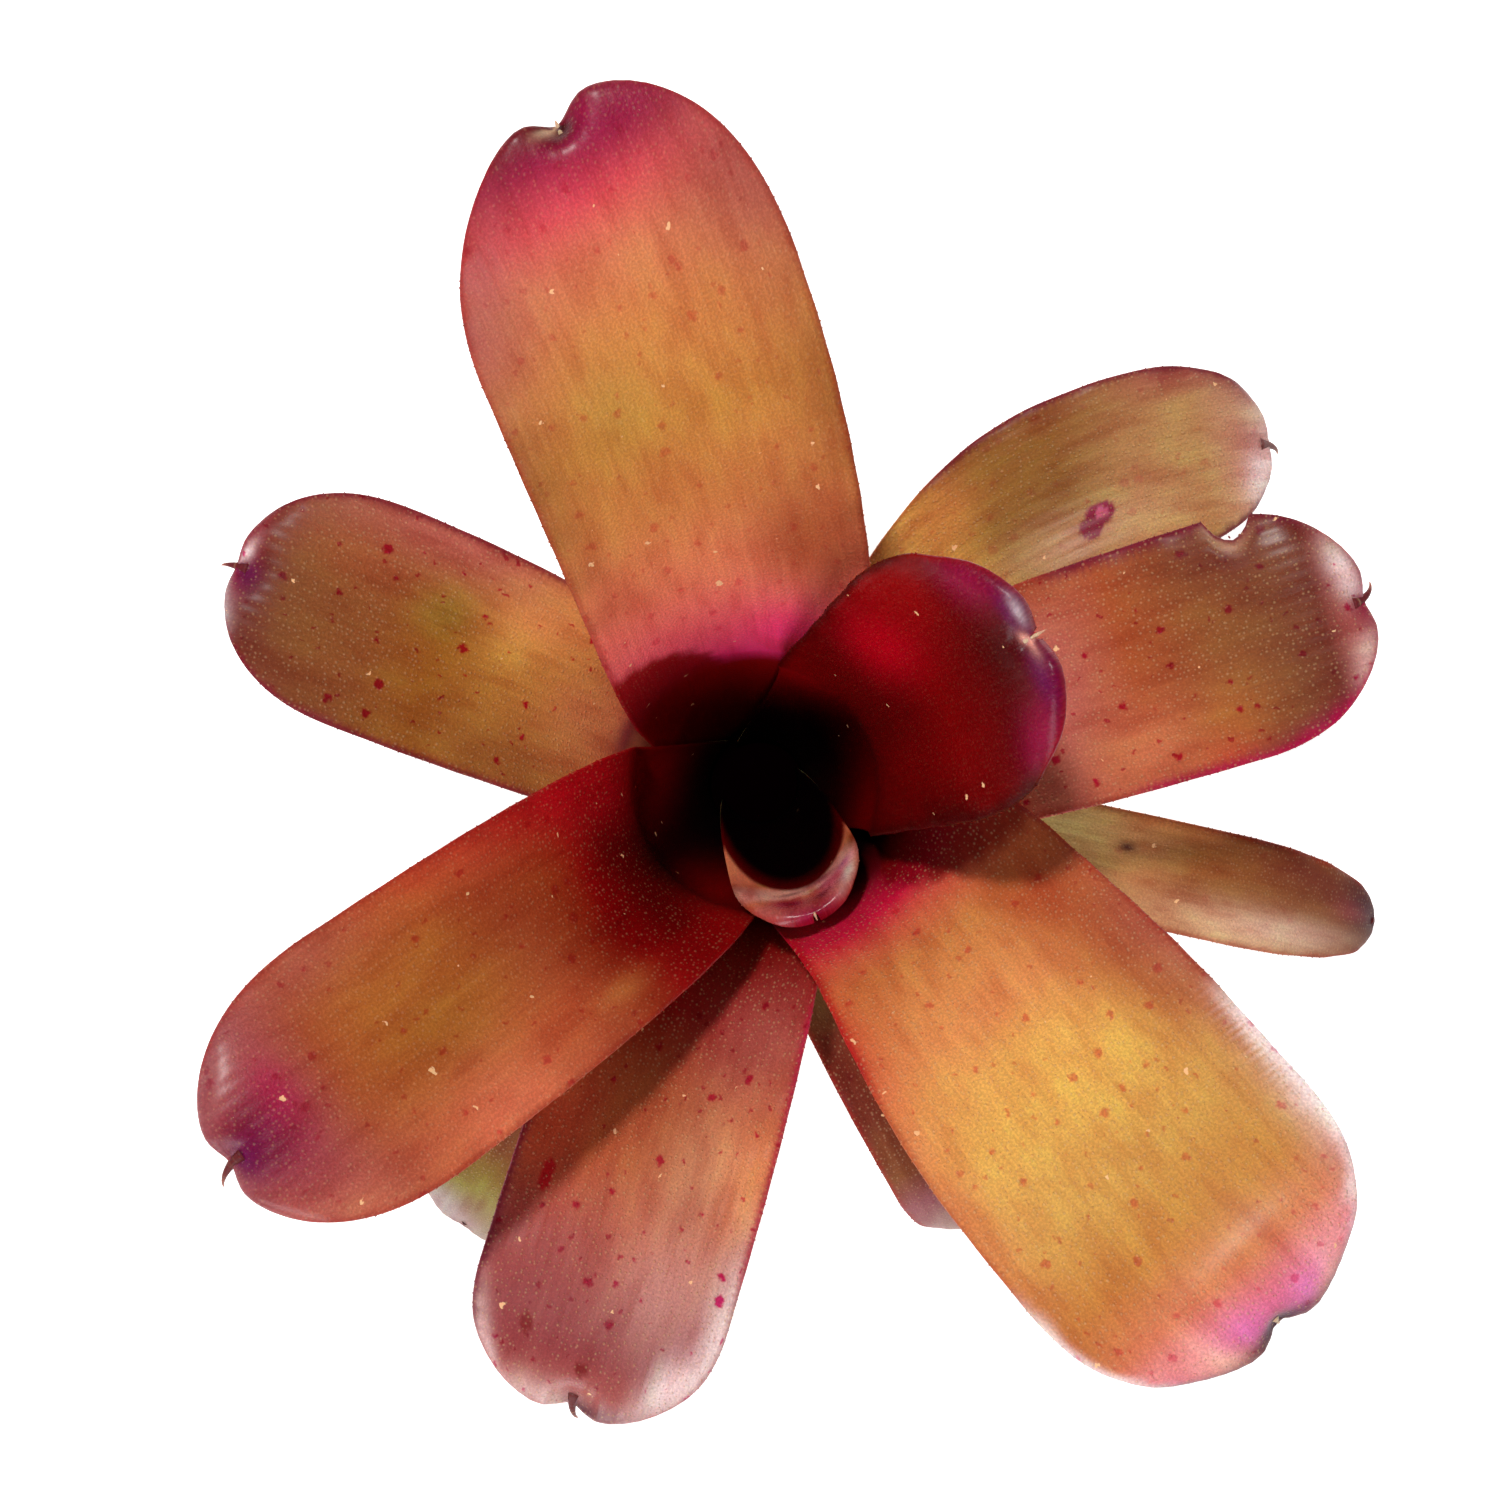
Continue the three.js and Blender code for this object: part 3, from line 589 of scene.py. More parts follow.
PATCHES = {
    "leaf_01_heart": (
        ("pink", 0.7, 0.45, 0.14, 0.3, 0.8), ("cerise", 0.74, -0.45, 0.12, 0.3, 0.6),
        ("magenta", 0.8, -0.3, 0.09, 0.25, 0.85), ("magenta", 0.6, 0.7, 0.05, 0.12, 0.7),
        # orchid on the leaf's left side of the rim is a painted lilac sheen
        ("orchid", 0.62, 0.8, 0.1, 0.2, 0.4),
        ("magenta", 0.48, 0.3, 0.1, 0.25, 0.9), ("plum", 0.52, -0.2, 0.05, 0.2, 0.7),
        ("plum", 0.86, 0.3, 0.05, 0.15, 0.7), ("magenta", 0.68, 0.28, 0.05, 0.1, 0.7),
        ("silver", 0.78, 0.85, 0.1, 0.15, 0.7), ("copper", 0.25, 1, 0.3, 0.14, 0.9),
        ("honey", 0.06, -0.55, 0.05, 0.1, 0.8), ("bone", 0.62, 0.08, 0.05, 0.1, 0.9),
        ("honey", 0.62, 0.08, 0.02, 0.05, 0.9),
    ),
    "leaf_02_inner_right": (
        ("blood", -0.06, 0.9, 0.16, 0.4, 0.95), ("garnet", 0.12, 0.8, 0.15, 0.5, 0.7),
        # ruby on the left half is the leaf's red brightened by a painted glow of light shining
        # through it; garnet darkens the right half
        ("ruby", 0.5, 0.5, 0.15, 0.32, 0.95), ("blood", 0.72, 0.75, 0.14, 0.4, 0.8),
        ("garnet", 0.3, -0.5, 0.4, 0.35, 0.6), ("dark_wine", 0.52, -1, 0.14, 0.25, 0.8),
        ("dark_wine", 0.9, 0, 0.05, 0.3, 0.45), ("magenta", 0.92, 0.8, 0.06, 0.3, 0.7),
        ("magenta", 0.9, -0.85, 0.07, 0.3, 0.8), ("purple", 0.965, -0.5, 0.025, 0.35, 0.9),
        ("purple", 0.965, 0.45, 0.016, 0.3, 0.9), ("violet", 0.985, 0.6, 0.012, 0.3, 0.9),
        ("garnet", -0.12, -0.8, 0.12, 0.4, 0.9), ("silver", 0.985, 0.62, 0.01, 0.2, 0.6),
        ("pale_rose", 1, -0.12, 0.022, 0.3, 0.95), ("pale_rose", 0.975, 0.08, 0.016, 0.1, 0.9),
    ),
    "leaf_03_lower_left": (
        # ruby near the foot on the right side is the leaf's own red with a painted glow of light
        # shining through it
        ("blood", 0.08, 0.8, 0.14, 0.4, 0.9), ("ruby", 0.08, -0.8, 0.16, 0.42, 0.7),
        ("blood", -0.1, -0.9, 0.12, 0.45, 0.9), ("garnet", -0.1, 0.6, 0.1, 0.35, 0.8),
        ("salmon", 0.6, 0.9, 0.18, 0.5, 0.8), ("brick", 0.45, 0.6, 0.1, 0.3, 0.7),
        ("rust", 0.4, -0.5, 0.14, 0.25, 0.6), ("terracotta", 0.44, -1, 0.22, 0.3, 0.85),
        ("old_rose", 0.86, 0.85, 0.1, 0.4, 0.6), ("old_rose", 0.74, -0.9, 0.12, 0.3, 0.6),
        ("garnet", 0.22, 0.3, 0.11, 0.45, 0.95), ("blood", 0.3, -1, 0.2, 0.22, 0.7),
        ("orange", 0.34, 0.7, 0.06, 0.1, 0.4), ("olive", 0.62, 0.1, 0.1, 0.3, 0.6),
        ("magenta", 0.92, -0.05, 0.07, 0.55, 0.95), ("cerise", 0.88, -0.25, 0.03, 0.3, 0.6),
        ("plum", 0.95, 0.0, 0.06, 0.42, 0.9), ("purple", 0.975, 0.1, 0.03, 0.3, 0.8),
        ("clay", 0.86, 0.95, 0.06, 0.25, 0.45),
        ("ruby", 0.22, -0.9, 0.14, 0.3, 0.7), ("wine", 0.14, 0.3, 0.06, 0.4, 0.7),
        ("mauve", 0.94, -0.95, 0.06, 0.25, 0.7),
    ),
    "leaf_04_top": (
        ("hot_pink", 0.09, -0.45, 0.07, 0.35, 0.9), ("sienna", 0.3, -0.6, 0.13, 0.35, 0.85),
        ("bronze", 0.52, 1.1, 0.24, 0.32, 0.85), ("bronze", 0.5, -1.1, 0.16, 0.3, 0.8),
        ("yellow", 0.6, 0.25, 0.1, 0.35, 0.15), ("old_rose", 0.8, 1, 0.14, 0.45, 0.85),
        ("old_rose", 0.82, -0.95, 0.16, 0.45, 0.8), ("cerise", 0.9, 0.1, 0.035, 0.3, 0.2),
        ("magenta", 0.955, -0.45, 0.045, 0.6, 0.9), ("wine", 0.975, 0.02, 0.02, 0.22, 0.85),
        ("moss", 0.6, 0.35, 0.09, 0.25, 0.25),
        ("dark_wine", 1, -0.1, 0.03, 0.14, 0.9), ("bone", 0.995, 0.3, 0.015, 0.16, 0.8),
    ),
    "leaf_05_lower_right": (
        ("crimson", 0.06, -0.6, 0.08, 0.5, 0.9), ("brick", 0.3, 0.7, 0.12, 0.35, 0.9),
        ("sienna", 0.44, 0.9, 0.18, 0.42, 0.9), ("terracotta", 0.34, -1.05, 0.16, 0.3, 0.85),
        ("old_rose", 0.54, 1.05, 0.2, 0.3, 0.7), ("clay", 0.6, -1.05, 0.2, 0.25, 0.7),
        # blush on the left margin is a painted highlight; pale_rose at the tip is mostly painted
        # highlight over the end's own pale colour
        ("gold", 0.8, 0.3, 0.08, 0.4, 0.5), ("blush", 0.79, 1.0, 0.09, 0.17, 0.8),
        ("pale_rose", 0.95, 0.6, 0.05, 0.35, 0.8), ("pale_rose", 0.95, -0.6, 0.05, 0.35, 0.8),
        ("sienna", 0.82, -1.05, 0.08, 0.22, 0.7), ("orchid", 0.955, 0.4, 0.03, 0.25, 0.7),
        ("orchid", 0.945, -0.25, 0.03, 0.2, 0.7), ("purple", 0.985, 0, 0.014, 0.6, 0.9),
        ("aubergine", 0.995, 0, 0.012, 0.7, 0.9), ("yellow", 0.5, 0.05, 0.06, 0.25, 0.5),
    ),
    "leaf_06_upper_left": (
        ("bronze", 0.32, 0.9, 0.22, 0.5, 0.85), ("umber", 0.8, 0.95, 0.2, 0.3, 0.5),
        ("apricot", 0.38, -0.5, 0.1, 0.25, 0.6), ("dusty_rose", 0.6, -1, 0.28, 0.42, 0.9),
        ("moss", 0.57, -0.29, 0.06, 0.2, 0.6), ("clay", 0.2, 0.1, 0.08, 0.5, 0.5),
        ("yellow", 0.38, -0.2, 0.07, 0.2, 0.4), ("umber", 0.92, 0.7, 0.06, 0.3, 0.6),
        ("purple", 0.97, 0.08, 0.04, 0.3, 0.85),
        ("sienna", 0.76, -0.5, 0.14, 0.3, 0.4), ("magenta", 0.02, 0.1, 0.04, 0.3, 0.7),
        # pearl and silver at the very tip are painted highlights on the curled end
        ("highlight_pearl", 0.985, -0.4, 0.016, 0.2, 0.8), ("silver", 0.985, 0.9, 0.03, 0.3, 0.5),
    ),
    "leaf_07_bottom": (
        ("old_rose", 0.3, 0.7, 0.13, 0.5, 0.95), ("clay", 0.5, 0.8, 0.16, 0.5, 0.85),
        # terracotta on the right side is a painted red tint of the shadow that leaf_03 casts
        # there
        ("terracotta", 0.5, -0.8, 0.14, 0.4, 0.8), ("dusty_rose", 0.7, 0.5, 0.1, 0.4, 0.7),
        ("apricot", 0.52, 0.85, 0.1, 0.22, 0.5), ("madder", 0.84, -0.7, 0.1, 0.5, 0.7),
        # the pearl and blush patches near the margins and the end are painted highlights where
        # the blade curls down
        ("clay", 0.62, 0.1, 0.12, 0.35, 0.4), ("highlight_pearl", 0.9, -0.98, 0.05, 0.1, 0.8),
        ("blush", 0.76, 0.42, 0.1, 0.35, 0.25), ("sand", 0.55, 0.45, 0.12, 0.3, 0.35),
        ("highlight_pearl", 0.8, 1.05, 0.15, 0.22, 0.95),
        ("highlight_pearl", 0.89, 0.8, 0.06, 0.2, 0.9), ("aubergine", 1, 0.4, 0.03, 0.35, 0.7),
        ("blush", 0.98, -0.6, 0.035, 0.5, 0.6), ("blush", 0.88, -1.05, 0.08, 0.15, 0.7),
    ),
    "leaf_08_right": (
        ("sienna", 0.42, 1, 0.12, 0.4, 0.8), ("umber", 0.77, 0.85, 0.13, 0.4, 0.95),
        ("clay", 0.54, -0.75, 0.14, 0.45, 0.9), ("copper", 0.7, -0.6, 0.08, 0.3, 0.6),
        ("terracotta", 0.68, -0.95, 0.06, 0.2, 0.7), ("magenta", 0.86, -1, 0.12, 0.16, 0.85),
        # pearl and blush at the end are painted highlights on the curled end
        ("highlight_pearl", 0.965, 0.5, 0.028, 0.35, 0.85), ("blush", 0.96, -0.75, 0.03, 0.3, 0.6),
        ("sand", 0.79, 0.97, 0.045, 0.1, 0.8),
    ),
    "leaf_09_upper_right": (
        ("orange", 0.4, 0.6, 0.07, 0.4, 0.7), ("bronze", 0.64, 0.8, 0.14, 0.4, 0.8),
        ("sand", 0.6, -0.5, 0.17, 0.3, 0.7), ("brick", 0.62, -1, 0.14, 0.2, 0.7),
        ("old_rose", 0.83, 0.95, 0.1, 0.3, 0.75), ("pink", 0.96, -0.3, 0.05, 0.5, 0.3),
        # pearl near the end is a painted highlight
        ("highlight_pearl", 0.96, -0.55, 0.035, 0.4, 0.9), ("dusty_rose", 0.93, 0.2, 0.05, 0.5, 0.5),
        ("madder", 0.94, 0.95, 0.07, 0.25, 0.7),
    ),
    "leaf_10_low_left": (
        # silver near the end is a painted glint
        ("silver", 0.95, -0.5, 0.05, 0.4, 0.6), ("straw", 0.86, 0.3, 0.05, 0.4, 0.5),
    ),
    "leaf_11_low_front": (),
    "leaf_12_low_right": (
        ("umber", 0.8, 0.6, 0.13, 0.45, 0.85), ("sand", 0.64, -0.75, 0.2, 0.5, 0.95),
        # blush on the right side is a painted highlight of the low front light
        ("blush", 0.74, -0.6, 0.14, 0.3, 0.4), ("aubergine", 0.94, 0.3, 0.06, 0.6, 0.8),
        ("madder", 0.9, 0.1, 0.05, 0.3, 0.6),
        ("apricot", 0.5, 1, 0.1, 0.25, 0.7), ("aubergine", 0.42, 0.35, 0.015, 0.1, 0.9),
    ),
}
# patches with a firm, slightly ragged edge: their hump is cut off at half its height
FIRM_PATCHES = {
    # leaf_04: painted shade, darker red over the left of the base, which turns away from the key
    # light
    "leaf_04_top": (("blood", -0.02, 0.95, 0.18, 0.95, 0.95),),
    # leaf_05: painted shadow of leaf_02, dark over the left of the base
    "leaf_05_lower_right": (("garnet", 0.07, 1.0, 0.17, 1.3, 0.8),),
    "leaf_07_bottom": (
        ("ruby", 0.61, -0.71, 0.035, 0.06, 0.9), ("garnet", 0.86, -0.55, 0.02, 0.07, 0.75),
        ("garnet", 0.91, 0.0, 0.014, 0.08, 0.7),
    ),
    "leaf_09_upper_right": (
        ("magenta", 0.612, -0.44, 0.03, 0.14, 1.0), ("magenta", 0.64, -0.32, 0.035, 0.14, 1.0),
        ("pink", 0.642, -0.33, 0.014, 0.07, 0.8),
    ),
}
FIRM = (0.44, 0.56)  # heights of the hump between which a firm patch sets in
RAGGED = 0.025  # how far its edge strays, as a height of the hump
# lines along a margin: colour, side, first and last part, reach inwards in mm, share
MARGIN_LINES = (("blood", -1, 0.1, 1.1, 0.5, 0.55), ("blood", 1, 0.1, 1.1, 0.5, 0.55))
OWN_LINES = {
    "leaf_02_inner_right": (
        ("dark_wine", -1, 0, 0.85, 1.0, 0.85), ("dark_wine", 1, 0, 0.8, 0.7, 0.8),
    ),
    "leaf_06_upper_left": (("plum", -1, 0.3, 1.1, 0.6, 0.6), ("plum", 1, 0.2, 1.1, 0.6, 0.6)),
    "leaf_05_lower_right": (
        # the pearl lines along both margins are painted highlights where the margins curl down
        ("ruby", -1, 0.05, 0.4, 1.0, 0.7), ("highlight_pearl", 1, 0.6, 0.93, 1.5, 0.95),
        ("highlight_pearl", -1, 0.75, 0.95, 0.8, 0.7),
        ("aubergine", 1, 0.97, 1.1, 1.2, 0.85), ("aubergine", -1, 0.95, 1.1, 1.2, 0.85),
    ),
    "leaf_09_upper_right": (("plum", -1, 0.5, 1.1, 0.8, 0.8), ("plum", 1, 0.4, 1.1, 0.7, 0.7)),
    "leaf_07_bottom": (("plum", -1, 0.3, 0.9, 0.9, 0.7), ("cerise", 1, 0.2, 0.7, 0.6, 0.6)),
    "leaf_08_right": (("cerise", -1, 0.5, 0.98, 0.9, 0.8), ("plum", 1, 0.45, 0.92, 1.2, 0.75)),
}
LINE_FADE = 0.05  # part of the blade over which a line comes in and goes out
SERRATED = 0.3  # how much a line's reach swells and shrinks with the teeth
# painted shade: the heart leaf's inner wall is dark below the edge part = top - bend * (t -
# middle)^2
DARK_WALL = {"leaf": "leaf_01_heart", "top": 0.45, "bend": 0.8, "middle": 0.12}
WINE_EDGE, BLACK_EDGE = (-0.08, 0.08), (0.05, 0.5)  # parts below it where the dark sets in
# the underside is greener, and bleached where no light reaches it
UNDERSIDE = {"green": 0.5, "bleached": 0.85, "from": -0.25, "to": 0.15}
HORN = {"share": 0.85, "point": 0.6}  # how far spine and point take the colours of horn
PALE_SPINES = ("leaf_01_heart", "leaf_02_inner_right", "leaf_04_top", "leaf_05_lower_right")


def lay_over(tone, colour, share):
    """Moves each tone towards a colour by its share."""
    return tone + (COLOUR[colour] - tone) * share[:, None]


def fray(u, arc):
    """Two crossed waves about 2 pi / 1.5 and 2 pi / 1.25 mm long, for a patch's edge."""
    return RAGGED * np.sin(1.3 * u + 0.8 * arc) * np.sin(1.1 * arc - 0.6 * u)


def leaf_tone(name, leaf, params):
    """The run's colour at part = u / blade, then each patch with share * e^-(dp^2 + dt^2),
    thin lines along the margins, a dark inner wall of painted shade where there is one, and
    duller, greener colours on the underside."""
    u, t, arc, under = params.T
    part = u / leaf["blade"]
    stops, names = zip(*RUNS[name])
    tone = np.stack([np.interp(part, stops, [COLOUR[n][k] for n in names]) for k in range(3)], -1)
    for colour, at, side, reach, spread, share in PATCHES[name]:
        tone = lay_over(tone, colour, share * fade(part - at, reach) * fade(t - side, spread))
    for colour, at, side, reach, spread, share in FIRM_PATCHES.get(name, ()):
        hump = fade(part - at, reach) * fade(t - side, spread) + fray(u, arc)
        tone = lay_over(tone, colour, share * smooth(hump, *FIRM))
    inside = (1 - np.abs(t)) * half_width(leaf, np.maximum(u, 0))
    for colour, side, first, last, reach, share in MARGIN_LINES + OWN_LINES.get(name, ()):
        begun = smooth(part, first - LINE_FADE, first + LINE_FADE)
        there = begun * (1 - smooth(part, last - LINE_FADE, last + LINE_FADE))
        teeth = 1 + SERRATED * np.sin(2 * np.pi * u / TOOTH["pitch"])
        near = fade(inside, reach * teeth) * (side * t > 0)
        tone = lay_over(tone, colour, share * there * near)
    if name == DARK_WALL["leaf"]:
        edge = DARK_WALL["top"] - DARK_WALL["bend"] * (t - DARK_WALL["middle"]) ** 2
        # painted shade on the heart leaf's inner wall: wine red, then black, below the edge
        tone = lay_over(tone, "wine", smooth(edge - part, *WINE_EDGE))
        tone = lay_over(tone, "painted_shade_black", smooth(edge - part, *BLACK_EDGE))
    outside = np.where((under > 0.9) & (under < 1.5), 1, 0)
    tone = lay_over(tone, "sage", UNDERSIDE["green"] * outside)
    shaded = 1 - smooth(part, UNDERSIDE["from"], UNDERSIDE["to"])
    tone = lay_over(tone, "straw", UNDERSIDE["bleached"] * outside * shaded)
    horn = np.where(under > 1.5, 1, 0)
    tone = lay_over(tone, "bone" if name in PALE_SPINES else "horn", HORN["share"] * horn)
    return lay_over(tone, "horn_point", HORN["point"] * horn * smooth(under, 2.5, 3))


tone = leaf_tone("leaf_03_lower_left", LEAVES["leaf_03_lower_left"], params)
print("leaf_03 mean tone, linear:", np.round(tone.mean(axis=0), 3))

# %% [markdown]
# ## The living skin
# A neoregelia leaf is a smooth, waxy skin over parallel veins, dotted with tiny peltate
# scales, the scurf, that drink water. To the eye it is satin with fine pale points of light,
# faint lengthwise lines, blotches, and dark maroon freckles. An image could hold all that,
# but nodes keep it sharp at any distance. Every pattern reads the leaf's own grain: its
# millimetres across and along, so veins follow the leaf wherever it bends.

# %% One function that adds a node
def add(tree, kind, inputs=None, **settings):
    """Adds a node, sets its properties, and fills its sockets with values or links."""
    node = tree.nodes.new(kind)
    for name, value in settings.items():
        setattr(node, name, value)
    for socket, value in (inputs or {}).items():
        if isinstance(value, bpy.types.NodeSocket):
            tree.links.new(value, node.inputs[socket])
        else:
            node.inputs[socket].default_value = value
    return node


def rgba(name):
    """A palette colour with alpha 1, as a colour socket wants it."""
    return (*COLOUR[name], 1.0)


def new_material(name):
    """An empty node material with its output node."""
    material = bpy.data.materials.new(name)
    material.use_nodes = True
    material.node_tree.nodes.clear()
    return material, add(material.node_tree, "ShaderNodeOutputMaterial")


print("node helper ready")

# %% [markdown]
# ## Pattern sizes
# The sizes are those of the real plant, but for the scurf: its scales are drawn a third of a
# millimetre wide and 0.6 mm apart, a little coarser than in life, so that they show. Each is
# a low dome. Veins lie 0.6 mm apart. Freckles are 1 to 1.5 mm wide and 4 mm apart, with
# smaller specks between them. They are ragged, because they spread from cell to cell, so
# their place is first shaken by a fine noise.

# %% Patterns in millimetres
# cells per millimetre across and along the leaf, and the detail of the noise
NOISES = {
    "veins": ((1 / 0.6, 1 / 26, 1), 2.0),
    "blotches": ((1 / 8, 1 / 15, 1), 2.0),
    "mottle": ((1 / 3.2, 1 / 9, 1), 4.0),
    "grain": ((1 / 0.3, 1 / 0.34, 1), 2.0),
    "wander": ((1 / 0.8, 1 / 0.8, 1), 2.0),
}
# cells per millimetre, share of empty cells, widest dot and its soft edge, both in cells;
# a share below 0 leaves no cell empty and makes the smallest dots larger
DOTS = {
    "scurf": ((1 / 0.6, 1 / 0.66, 1), -0.4, 0.42, 0.36),
    "freckle": ((1 / 3.9, 1 / 4.6, 1), 0.25, 0.2, 0.11),
    "speck": ((1 / 2.1, 1 / 2.7, 1), 0.45, 0.19, 0.11),
    "fleck": ((1 / 7, 1 / 7, 1), 0.6, 0.05, 0.015),
}
WANDER = 1.0  # millimetres that a freckle's edge strays from a circle
RELIEF = {"scurf": 1.4, "veins": 0.45, "grain": 0.8}
RELIEF_DEPTH = 0.00011  # metres of height for 1 in the relief
# noise and the two values of it between which each pattern comes in
COMES_IN = {
    "blotches": ("blotches", 0.42, 0.75), "veins": ("veins", 0.3, 0.7),
    "grain": ("grain", 0.4, 0.66), "ruddy": ("mottle", 0.52, 0.3),
    "gilded": ("mottle", 0.5, 0.72),
}
SATIN = {"less": -0.06, "more": 0.1, "wet": -0.14}  # changes in roughness by grain and water
print("noises and dots:", list(NOISES), list(DOTS))

# %% [markdown]
# ## The leaf material
# Plant wax over living cells: an IOR of about 1.45, satin rather than glossy, with a little
# light going into the flesh and coming out red. Wet, young leaves get a clear coat on top.
# Each pattern lays one thin coat of paint over the tone, so they are made in one loop.


# %% The leaf material
def leaf_skin(name, roughness, coat, mottled):
    """Tone, times blotches, mottling, veins and grain, then scurf, freckles and flecks."""
    material, output = new_material(name)
    tree = material.node_tree
    tone = add(tree, "ShaderNodeAttribute", attribute_name="tone").outputs["Color"]
    grain = add(tree, "ShaderNodeAttribute", attribute_name="grain").outputs["Vector"]
    care = add(tree, "ShaderNodeAttribute", attribute_name="care").outputs["Vector"]
    scurf_amount, freckle_amount, wet = add(tree, "ShaderNodeSeparateXYZ", {0: care}).outputs

    noise, dot = {}, {}
    for key, (scale, detail) in NOISES.items():
        place = add(tree, "ShaderNodeVectorMath", {0: grain, 1: scale}, operation="MULTIPLY")
        inputs = {"Vector": place.outputs[0], "Scale": 1.0, "Detail": detail}
        noise[key] = add(tree, "ShaderNodeTexNoise", inputs, noise_dimensions="2D")
    inputs = {0: noise["wander"].outputs[1], 1: (WANDER, WANDER, 0), 2: grain}
    ragged = add(tree, "ShaderNodeVectorMath", inputs, operation="MULTIPLY_ADD").outputs[0]
    for key, (scale, empty, widest, edge) in DOTS.items():
        start = grain if key == "scurf" else ragged
        place = add(tree, "ShaderNodeVectorMath", {0: start, 1: scale}, operation="MULTIPLY")
        inputs = {"Vector": place.outputs[0], "Scale": 1.0, "Randomness": 0.9}
        cells = add(tree, "ShaderNodeTexVoronoi", inputs, voronoi_dimensions="2D")
        pick = add(tree, "ShaderNodeSeparateColor", {0: cells.outputs["Color"]}).outputs[0]
        size = add(tree, "ShaderNodeMapRange", {0: pick, 1: empty, 2: 1.0, 3: 0.0, 4: widest})
        inputs = {0: size.outputs[0], 1: cells.outputs["Distance"]}
        inside = add(tree, "ShaderNodeMath", inputs, operation="SUBTRACT").outputs[0]
        inputs = {0: inside, 1: 0.0, 2: edge}
        soft = add(tree, "ShaderNodeMapRange", inputs, interpolation_type="SMOOTHSTEP")
        dot[key] = soft.outputs[0]
    share = {"fleck": dot["fleck"]}
    amounts = {"scurf": scurf_amount, "freckle": freckle_amount, "speck": freckle_amount}
    for key, amount in amounts.items():
        spread = add(tree, "ShaderNodeMath", {0: dot[key], 1: amount}, operation="MULTIPLY")
        share[key] = spread.outputs[0]
    for key, (source, low, high) in COMES_IN.items():
        inputs = {0: noise[source].outputs[0], 1: low, 2: high}
        soft = add(tree, "ShaderNodeMapRange", inputs, interpolation_type="SMOOTHSTEP")
        share[key] = soft.outputs[0]

    colour = tone
    for key, kind, strength, paint in (
        ("blotches", "MULTIPLY", 0.35, (0.8, 0.5, 0.55, 1)),
        ("ruddy", "MULTIPLY", mottled, (0.78, 0.5, 0.5, 1)),
        ("gilded", "MULTIPLY", mottled, (1.1, 1.4, 1.2, 1)),
        ("veins", "MULTIPLY", 0.2, (0.7, 0.55, 0.5, 1)),
        ("grain", "MULTIPLY", 0.45, (1.45, 1.5, 1.4, 1)),
        ("scurf", "MIX", 0.26, rgba("scurf")),
        ("freckle", "MULTIPLY", 1.0, (0.78, 0.04, 0.3, 1)),
        ("speck", "MULTIPLY", 0.85, (0.74, 0.08, 0.3, 1)),
        ("fleck", "MIX", 0.85, rgba("scurf")),
    ):
        amount = add(tree, "ShaderNodeMath", {0: share[key], 1: strength}, operation="MULTIPLY")
        inputs = {0: amount.outputs[0], 6: colour, 7: paint}
        colour = add(tree, "ShaderNodeMix", inputs, data_type="RGBA", blend_type=kind).outputs[2]

    bumps = {"scurf": share["scurf"]}
    bumps.update({key: noise[key].outputs[0] for key in ("veins", "grain")})
    relief = 0.0
    for key, source in bumps.items():
        inputs = {0: source, 1: RELIEF[key], 2: relief}
        relief = add(tree, "ShaderNodeMath", inputs, operation="MULTIPLY_ADD").outputs[0]
    inputs = {"Strength": 0.8, "Distance": RELIEF_DEPTH, "Height": relief}
    bump = add(tree, "ShaderNodeBump", inputs).outputs[0]
    finest, coarsest = roughness + SATIN["less"], roughness + SATIN["more"]
    inputs = {0: noise["grain"].outputs[0], 1: 0.3, 2: 0.7, 3: finest, 4: coarsest}
    dry = add(tree, "ShaderNodeMapRange", inputs).outputs[0]
    inputs = {0: wet, 1: SATIN["wet"], 2: dry}
    rough = add(tree, "ShaderNodeMath", inputs, operation="MULTIPLY_ADD").outputs[0]
    gloss = add(tree, "ShaderNodeMath", {0: wet, 1: coat}, operation="MULTIPLY").outputs[0]
    inputs = {
        "Base Color": colour, "Roughness": rough, "Normal": bump, "IOR": 1.45,
        "Specular IOR Level": 0.1, "Coat Weight": gloss, "Coat Roughness": 0.28,
        "Subsurface Weight": 0.2, "Subsurface Radius": (1.0, 0.2, 0.1), "Subsurface Scale": 0.001,
    }
    shader = add(tree, "ShaderNodeBsdfPrincipled", inputs)
    tree.links.new(shader.outputs[0], output.inputs["Surface"])
    return material


SKINS = {
    # the youngest: smooth and glossy, wine red with a pale mottled rim
    "heart_leaf": leaf_skin("waxy heart leaf", roughness=0.34, coat=0.35, mottled=1.0),
    # smooth satin, an even deep red
    "inner_leaf": leaf_skin("waxy red leaf", roughness=0.38, coat=0.25, mottled=0.15),
    # satin with fine scurf, bleached to gold and salmon by the sun
    "upper_leaf": leaf_skin("sun-gilded leaf", roughness=0.44, coat=0.35, mottled=0.4),
    # satin, dotted with freckles, wet at the ends
    "middle_leaf": leaf_skin("freckled scurfy leaf", roughness=0.46, coat=0.4, mottled=0.5),
    # the dullest: full of scurf and mottled with olive
    "lower_leaf": leaf_skin("shaded scurfy leaf", roughness=0.5, coat=0.35, mottled=0.6),
}
print("leaf skins:", sorted(SKINS))

# %% [markdown]
# ## Building the leaves
# Each leaf is one mesh with three things on its points: its tone, its grain in millimetres,
# and how much scurf, freckling and shine it has there. The older a leaf, the more scurf and
# freckles. The grain is moved by a fixed step for each leaf, so no two share a pattern.

